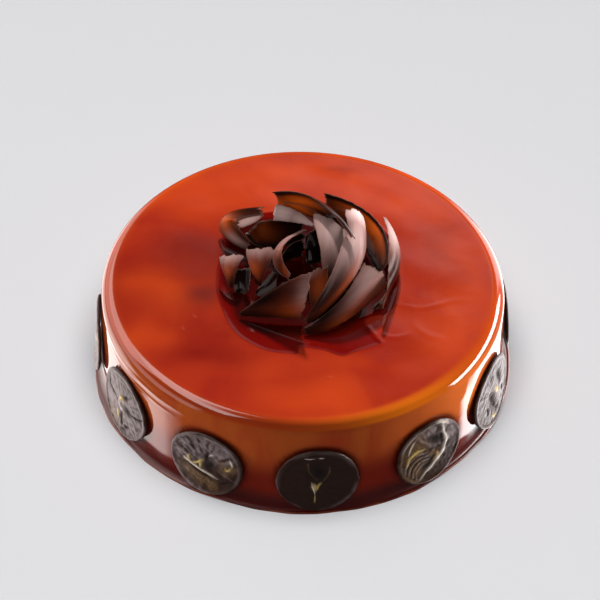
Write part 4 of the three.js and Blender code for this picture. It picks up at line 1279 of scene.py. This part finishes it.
def disc_place(settings, azimuth, radius, lean, foot):
    """Where a disc stands: turned round the cake, on its edge and leaning back on the wall"""
    middle = (0, radius * math.sin(lean) - foot, settings.foot_height + radius * math.cos(lean))
    return (Matrix.Rotation(math.radians(azimuth), 4, "Z") @ Matrix.Translation(middle)
            @ Matrix.Rotation(math.pi / 2 - lean, 4, "X"))


class CARAMEL_CAKE_OT_chocolate_discs(bpy.types.Operator):
    """Casts the thin creased chocolate discs that lean on the side of the cake"""

    bl_idname = "caramel_cake.chocolate_discs"
    bl_label = "Cast Chocolate Discs"

    def execute(self, context):
        settings = context.scene.caramel_cake.discs
        material = disc_material(settings)
        for number, (azimuth, radius, lean, foot, face_name, turn) in enumerate(DISCS, start=1):
            radius, foot, lean = radius * MM, foot * MM, math.radians(lean)
            points, masks, rings = disc_points(settings, number, radius, face_name, turn)
            faces = grid_faces(rings, DISC_STEPS, True).tolist()
            faces.append(range(DISC_STEPS))
            faces.append(range((rings - 1) * DISC_STEPS, rings * DISC_STEPS))
            place = disc_place(settings, azimuth, radius, lean, foot)
            standing = points @ np.array(place.to_3x3()).T + np.array(place.translation)
            node = f"disc_{number:02d}"
            piece = make_piece(f"chocolate_{node}", standing, faces, material, masks, sharp_angle=50)
            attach(piece, "root")
            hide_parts(node)
        return {"FINISHED"}


def unit_rows(vectors):
    """Each vector brought to length 1"""
    return vectors / np.linalg.norm(vectors, axis=-1, keepdims=True)


def torn_edge(across, phases, seed):
    """Offset of a torn end from a straight cut, in millimetres"""
    edge = sum(size * np.sin(turns * across + phase) for (size, turns), phase in zip(TORN_WAVES, phases))
    return edge + sum(size * np.sin(turns * across + seed + turns) for size, turns in FINE_TORN_WAVES)


def curl_sheet(spine, face, left, right, cup, slant, notch, seed):
    """Outer side of a curl, in millimetres: points, the way they face, distance to the nearest edge, and
    distances across and along the strip"""
    start, middle, end = (np.array(point, float) for point in spine)
    control = 2 * middle - 0.5 * (start + end)
    length = np.linalg.norm(middle - start) + np.linalg.norm(end - middle)
    phases = seeded_phases(seed, 2 * len(TORN_WAVES))
    column = np.linspace(-1.0, 1.0, CURL_COLUMNS + 1)
    near = START_TEAR_SHARE * torn_edge(column, phases[len(TORN_WAVES):], seed + 1) / length
    far = 1.0 + slant * column + torn_edge(column, phases[:len(TORN_WAVES)], seed) / length
    row = np.linspace(0.0, 1.0, CURL_ROWS + 1)[:, None]
    share = near + (far - near) * row
    inside = np.clip(share, 0.0, 1.0)
    across = np.broadcast_to(column, share.shape)

    step = share[..., None]
    place = (1 - step) ** 2 * start + 2 * step * (1 - step) * control + step ** 2 * end
    direction = unit_rows((1 - step) * (control - start) + step * (end - control))
    ways = unit_rows(np.array(face, float))
    facing = through_three(ways, inside[..., None])
    facing = unit_rows(facing - direction * np.sum(facing * direction, axis=-1, keepdims=True))
    sideways = np.cross(direction, facing)

    along_sides = np.stack([share.ravel() * length, np.sign(across).ravel() * SIDES_APART], axis=1)
    ragged = SIDE_WAVES * wave_noise(along_sides, seed, SIDE_WAVE_LENGTH)
    ragged = ragged.reshape(share.shape) * smooth_step(0.0, SIDE_WAVES_BEGIN, row)
    left_half = np.maximum(through_three(left, inside), LEAST_HALF_WIDTH)
    right_half = np.maximum(through_three(right, inside), LEAST_HALF_WIDTH)
    if notch:
        at, depth, reach = notch
        left_half = left_half * (1 - depth * np.exp(-(((inside - at) / reach) ** 2)))
    half = np.where(across > 0, right_half, left_half)
    offset = across * (half + ragged)
    curving = np.radians(cup[0] + (cup[1] - cup[0]) * inside) / (left_half + right_half)
    angle = offset * curving
    place = place + sideways * (np.sin(angle) / curving)[..., None]
    place = place - facing * ((1 - np.cos(angle)) / curving)[..., None]
    normal = unit_rows(facing * np.cos(angle)[..., None] + sideways * np.sin(angle)[..., None])

    to_side = (1 - np.abs(across)) * half
    to_end = np.minimum(row, 1 - row) * length
    return place, normal, np.minimum(to_side, to_end), offset, share * length


def sheet_border(rows, columns):
    """Numbers of the points round the border of a sheet, in order"""
    last = (rows - 1) * columns
    start = list(range(columns))
    right = [row * columns + columns - 1 for row in range(1, rows)]
    end = [last + column for column in range(columns - 2, -1, -1)]
    left = [row * columns for row in range(rows - 2, 0, -1)]
    return start + right + end + left


def curl_solid(settings, place, normal, edge_distance, border):
    """Points in millimetres and faces of a curl: its outer side, inner side and the middle of its edge"""
    thickness = EDGE_THICKNESS + (1 - EDGE_THICKNESS) * smooth_step(0.0, FULL_THICKNESS_AT, edge_distance)
    thickness *= settings.thickness / MM
    outer = place.reshape(-1, 3)
    inner = (place - normal * thickness[..., None]).reshape(-1, 3)
    middle = 0.5 * (outer[border] + inner[border])
    onward = unit_rows(np.roll(middle, -1, axis=0) - np.roll(middle, 1, axis=0) + 1e-9)
    outward = np.cross(onward, normal.reshape(-1, 3)[border])
    if np.sum(outward * (middle - outer.mean(axis=0))) < 0:
        outward = -outward
    points = np.vstack([outer, inner, middle + EDGE_BULGE * outward])

    layer, count = len(outer), len(border)
    quads = grid_faces(*place.shape[:2], False)
    faces = quads.tolist() + (quads[:, ::-1] + layer).tolist()
    for index in range(count):
        after = (index + 1) % count
        a, b = border[index], border[after]
        c, d = 2 * layer + after, 2 * layer + index
        faces.append((b, a, d, c))
        faces.append((c, d, a + layer, b + layer))
    return points, faces


def curl_tint(name, kind, side, shape):
    """How strong one kind of tint is at each point of one side of a curl"""
    along = np.linspace(0.0, 1.0, shape[0])[:, None]
    across = np.linspace(-1.0, 1.0, shape[1])[None, :]
    tint = np.zeros(shape)
    for tint_kind, tint_side, at, aside, reach, breadth, strength in CURL_TINTS.get(name, ()):
        if tint_kind == kind and tint_side == side:
            spot = np.exp(-(((along - at) / reach) ** 2) - ((across - aside) / breadth) ** 2)
            tint = np.maximum(tint, strength * spot)
    return tint.ravel()


def curl_masks(name, height, edge_distance, offset, along, border):
    """Masks that colour a curl, on its outer side, its inner side and the middle of its edge in turn"""
    shape = edge_distance.shape
    layer, count = edge_distance.size, len(border)
    low = 1 - smooth_step(*DARK_FOOT, height)
    end = smooth_step(TORN_END, 1.0, np.repeat(np.linspace(0.0, 1.0, shape[0]), shape[1]))
    strength = SIDE_LINE_STRENGTH + (1 - SIDE_LINE_STRENGTH) * end
    line = strength * np.exp(-((edge_distance / EDGE_LINE) ** 2)).ravel()
    line = np.concatenate([line, line, strength[border]])
    painted_shade = np.concatenate([np.zeros(layer), np.ones(layer), np.zeros(count)])
    tints = {}
    for kind in ("pale", "painted_glow", "dark"):
        sides = [curl_tint(name, kind, side, shape) for side in (1, -1)]
        tints[kind] = np.concatenate([*sides, np.zeros(count)])
    across, along = offset.ravel(), along.ravel()
    return {
        # Painted highlight along the edges
        "edge": line * (1 - EDGE_LOSS * np.maximum(low, tints["dark"])),
        # Painted shade: the whole inner side, the foot and the dark tints
        "painted_shade": np.maximum.reduce([painted_shade, FOOT_DARKNESS * low, tints["dark"]]),
        "pale": tints["pale"],
        "painted_glow": tints["painted_glow"],
        "across": MM * np.concatenate([across, across, across[border]]),
        "along": MM * np.concatenate([along, along, along[border]]),
    }


class CARAMEL_CAKE_OT_chocolate_curls(bpy.types.Operator):
    """Shaves the curved chocolate curls and heaps them on the middle of the cake"""

    bl_idname = "caramel_cake.chocolate_curls"
    bl_label = "Shave Chocolate Curls"

    def execute(self, context):
        settings = context.scene.caramel_cake.curls
        material = curl_material(settings)
        border = sheet_border(CURL_ROWS + 1, CURL_COLUMNS + 1)
        for name, *shape in CURLS:
            place, normal, edge_distance, offset, along = curl_sheet(*shape)
            points, faces = curl_solid(settings, place, normal, edge_distance, border)
            masks = curl_masks(name, points[:, 2], edge_distance, offset, along, border)
            points = MM * points + (0.0, 0.0, CAKE_TOP)
            piece = make_piece(f"chocolate_{name}", points, faces, material, masks, sharp_angle=45)
            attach(piece, "root")
            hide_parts(name)
        return {"FINISHED"}


def lit_group(name, item, state):
    """A collection by which a lamp lights only an item (INCLUDE) or all but it (EXCLUDE)"""
    group = bpy.data.collections.new(name)
    group.objects.link(item)
    group.collection_objects[0].light_linking.link_state = state
    return group


def add_lamp(name, place, power, receivers):
    """A square lamp that looks at the cake, lights the receivers and is not mirrored in the glaze"""
    azimuth, elevation, distance, size, share = place
    light = bpy.data.lights.new(name, "AREA")
    light.size = size
    light.energy = share * power
    light.color = LAMP_COLOUR
    lamp = bpy.data.objects.new(name, light)
    turn, rise = math.radians(azimuth), math.radians(elevation)
    away = distance * math.cos(rise)
    lamp.location = (away * math.sin(turn), -away * math.cos(turn), distance * math.sin(rise))
    lamp.rotation_euler = (-lamp.location).to_track_quat("-Z", "Y").to_euler()
    lamp.visible_glossy = False
    lamp.light_linking.receiver_collection = receivers
    bpy.context.scene.collection.objects.link(lamp)


class Sky(Nodes):
    """Nodes of the surroundings, with the azimuth in degrees from 0 to 360 and the height from -1 to 1"""

    def __init__(self, world):
        super().__init__(world)
        split = self.add("ShaderNodeSeparateXYZ")
        self.join(self.add("ShaderNodeTexCoord").outputs["Generated"], split.inputs[0])
        x, y, self.height = split.outputs
        from_back = self.math("MULTIPLY", self.math("ARCTAN2", x, y), 180.0 / math.pi)
        self.azimuth = self.math("SUBTRACT", 180.0, from_back)

    def window(self, value, low, high, soft):
        """1 between low and high and 0 beyond them, with soft ends"""
        return self.math("MULTIPLY", self.spread(value, low - soft, low + soft),
                         self.spread(value, high + soft, high - soft))

    def patch(self, ends, borders, softness):
        """1 inside a patch of the surroundings and 0 outside it"""
        return self.math("MULTIPLY", self.window(self.azimuth, *ends, softness[0]),
                         self.window(self.height, *borders, softness[1]))


def make_world(settings):
    """Dim surroundings with a pale backdrop, a bright panel on each side and the patches that the glaze
    mirrors"""
    world = bpy.data.worlds.new("studio")
    sky = Sky(world)
    brightness = {"right_panel": settings.right_panel, "left_panel": settings.left_panel}
    colour = ROOM_COLOUR
    for name, (ends, borders, softness, tint) in PATCHES.items():
        shine = tuple(brightness.get(name, 1.0) * channel for channel in tint)
        colour = sky.mix(sky.patch(ends, borders, softness), colour, shine)
    background = sky.add("ShaderNodeBackground")
    sky.join(colour, background.inputs["Color"])
    background.inputs["Strength"].default_value = 1.0
    sky.join(background.outputs[0], sky.add("ShaderNodeOutputWorld").inputs["Surface"])
    bpy.context.scene.world = world
    world.cycles_visibility.diffuse = False


def add_floor(settings):
    """The plain floor, which the glaze does not mirror"""
    mesh = bpy.data.meshes.new("floor")
    corners = [(-FLOOR_HALF, -FLOOR_HALF, 0), (FLOOR_HALF, -FLOOR_HALF, 0),
               (FLOOR_HALF, FLOOR_HALF, 0), (-FLOOR_HALF, FLOOR_HALF, 0)]
    mesh.from_pydata(corners, [], [(0, 1, 2, 3)])
    mesh.materials.append(floor_material(settings))
    floor = bpy.data.objects.new("floor", mesh)
    floor.visible_glossy = False
    bpy.context.scene.collection.objects.link(floor)
    return floor


def add_camera(settings):
    """The camera, at the viewing angle of the photograph"""
    camera_data = bpy.data.cameras.new("camera")
    camera_data.lens = settings.lens
    camera_data.sensor_width = SENSOR_WIDTH
    camera_data.clip_start = NEAREST_SEEN
    camera_data.clip_end = FARTHEST_SEEN
    camera = bpy.data.objects.new("camera", camera_data)
    rise, roll = settings.elevation, settings.roll
    forward = Vector((0, math.cos(rise), -math.sin(rise)))
    right, up = Vector((1, 0, 0)), Vector((0, math.sin(rise), math.cos(rise)))
    tilted_right = math.cos(roll) * right + math.sin(roll) * up
    tilted_up = math.cos(roll) * up - math.sin(roll) * right
    axes = Matrix((tilted_right, tilted_up, -forward)).transposed().to_4x4()
    camera.matrix_world = Matrix.Translation(CAMERA_AIM - settings.distance * forward) @ axes
    bpy.context.scene.collection.objects.link(camera)
    bpy.context.scene.camera = camera


class CARAMEL_CAKE_OT_stage(bpy.types.Operator):
    """Sets the plain floor, the soft light panels and the camera"""

    bl_idname = "caramel_cake.stage"
    bl_label = "Set Stage"

    def execute(self, context):
        settings = context.scene.caramel_cake.stage
        floor = add_floor(settings)
        power = settings.lamp_power
        spared = lit_group("floor_spared", floor, "EXCLUDE")
        for name, place in LAMPS.items():
            add_lamp(name, place, power, spared)
        add_lamp("lamp_floor", FLOOR_LAMP, power, lit_group("floor_only", floor, "INCLUDE"))
        make_world(settings)
        add_camera(settings)
        context.scene.view_settings.view_transform = "Standard"
        return {"FINISHED"}


class CARAMEL_CAKE_PT_panel(bpy.types.Panel):
    """Lists the steps that make the cake"""

    bl_idname = "CARAMEL_CAKE_PT_panel"
    bl_label = "Caramel Cake"
    bl_space_type = "VIEW_3D"
    bl_region_type = "UI"
    bl_category = "Cake"

    def draw(self, context):
        settings = context.scene.caramel_cake
        for group, operator in ((settings.glaze, "caramel_cake.glazed_cake"),
                                (settings.discs, "caramel_cake.chocolate_discs"),
                                (settings.curls, "caramel_cake.chocolate_curls"),
                                (settings.stage, "caramel_cake.stage")):
            box = self.layout.box()
            for label in group.__annotations__:
                box.prop(group, label)
            box.operator(operator)


CLASSES = (
    GlazeSettings, DiscSettings, CurlSettings, StageSettings, CakeSettings,
    CARAMEL_CAKE_OT_glazed_cake, CARAMEL_CAKE_OT_chocolate_discs, CARAMEL_CAKE_OT_chocolate_curls,
    CARAMEL_CAKE_OT_stage, CARAMEL_CAKE_PT_panel,
)


def register():
    for entry in CLASSES:
        bpy.utils.register_class(entry)
    bpy.types.Scene.caramel_cake = PointerProperty(type=CakeSettings)


def unregister():
    del bpy.types.Scene.caramel_cake
    for entry in reversed(CLASSES):
        bpy.utils.unregister_class(entry)


def main():
    register()
    bpy.ops.caramel_cake.stage()
    bpy.ops.caramel_cake.glazed_cake()
    bpy.ops.caramel_cake.chocolate_discs()
    bpy.ops.caramel_cake.chocolate_curls()


if __name__ == "__main__":
    main()
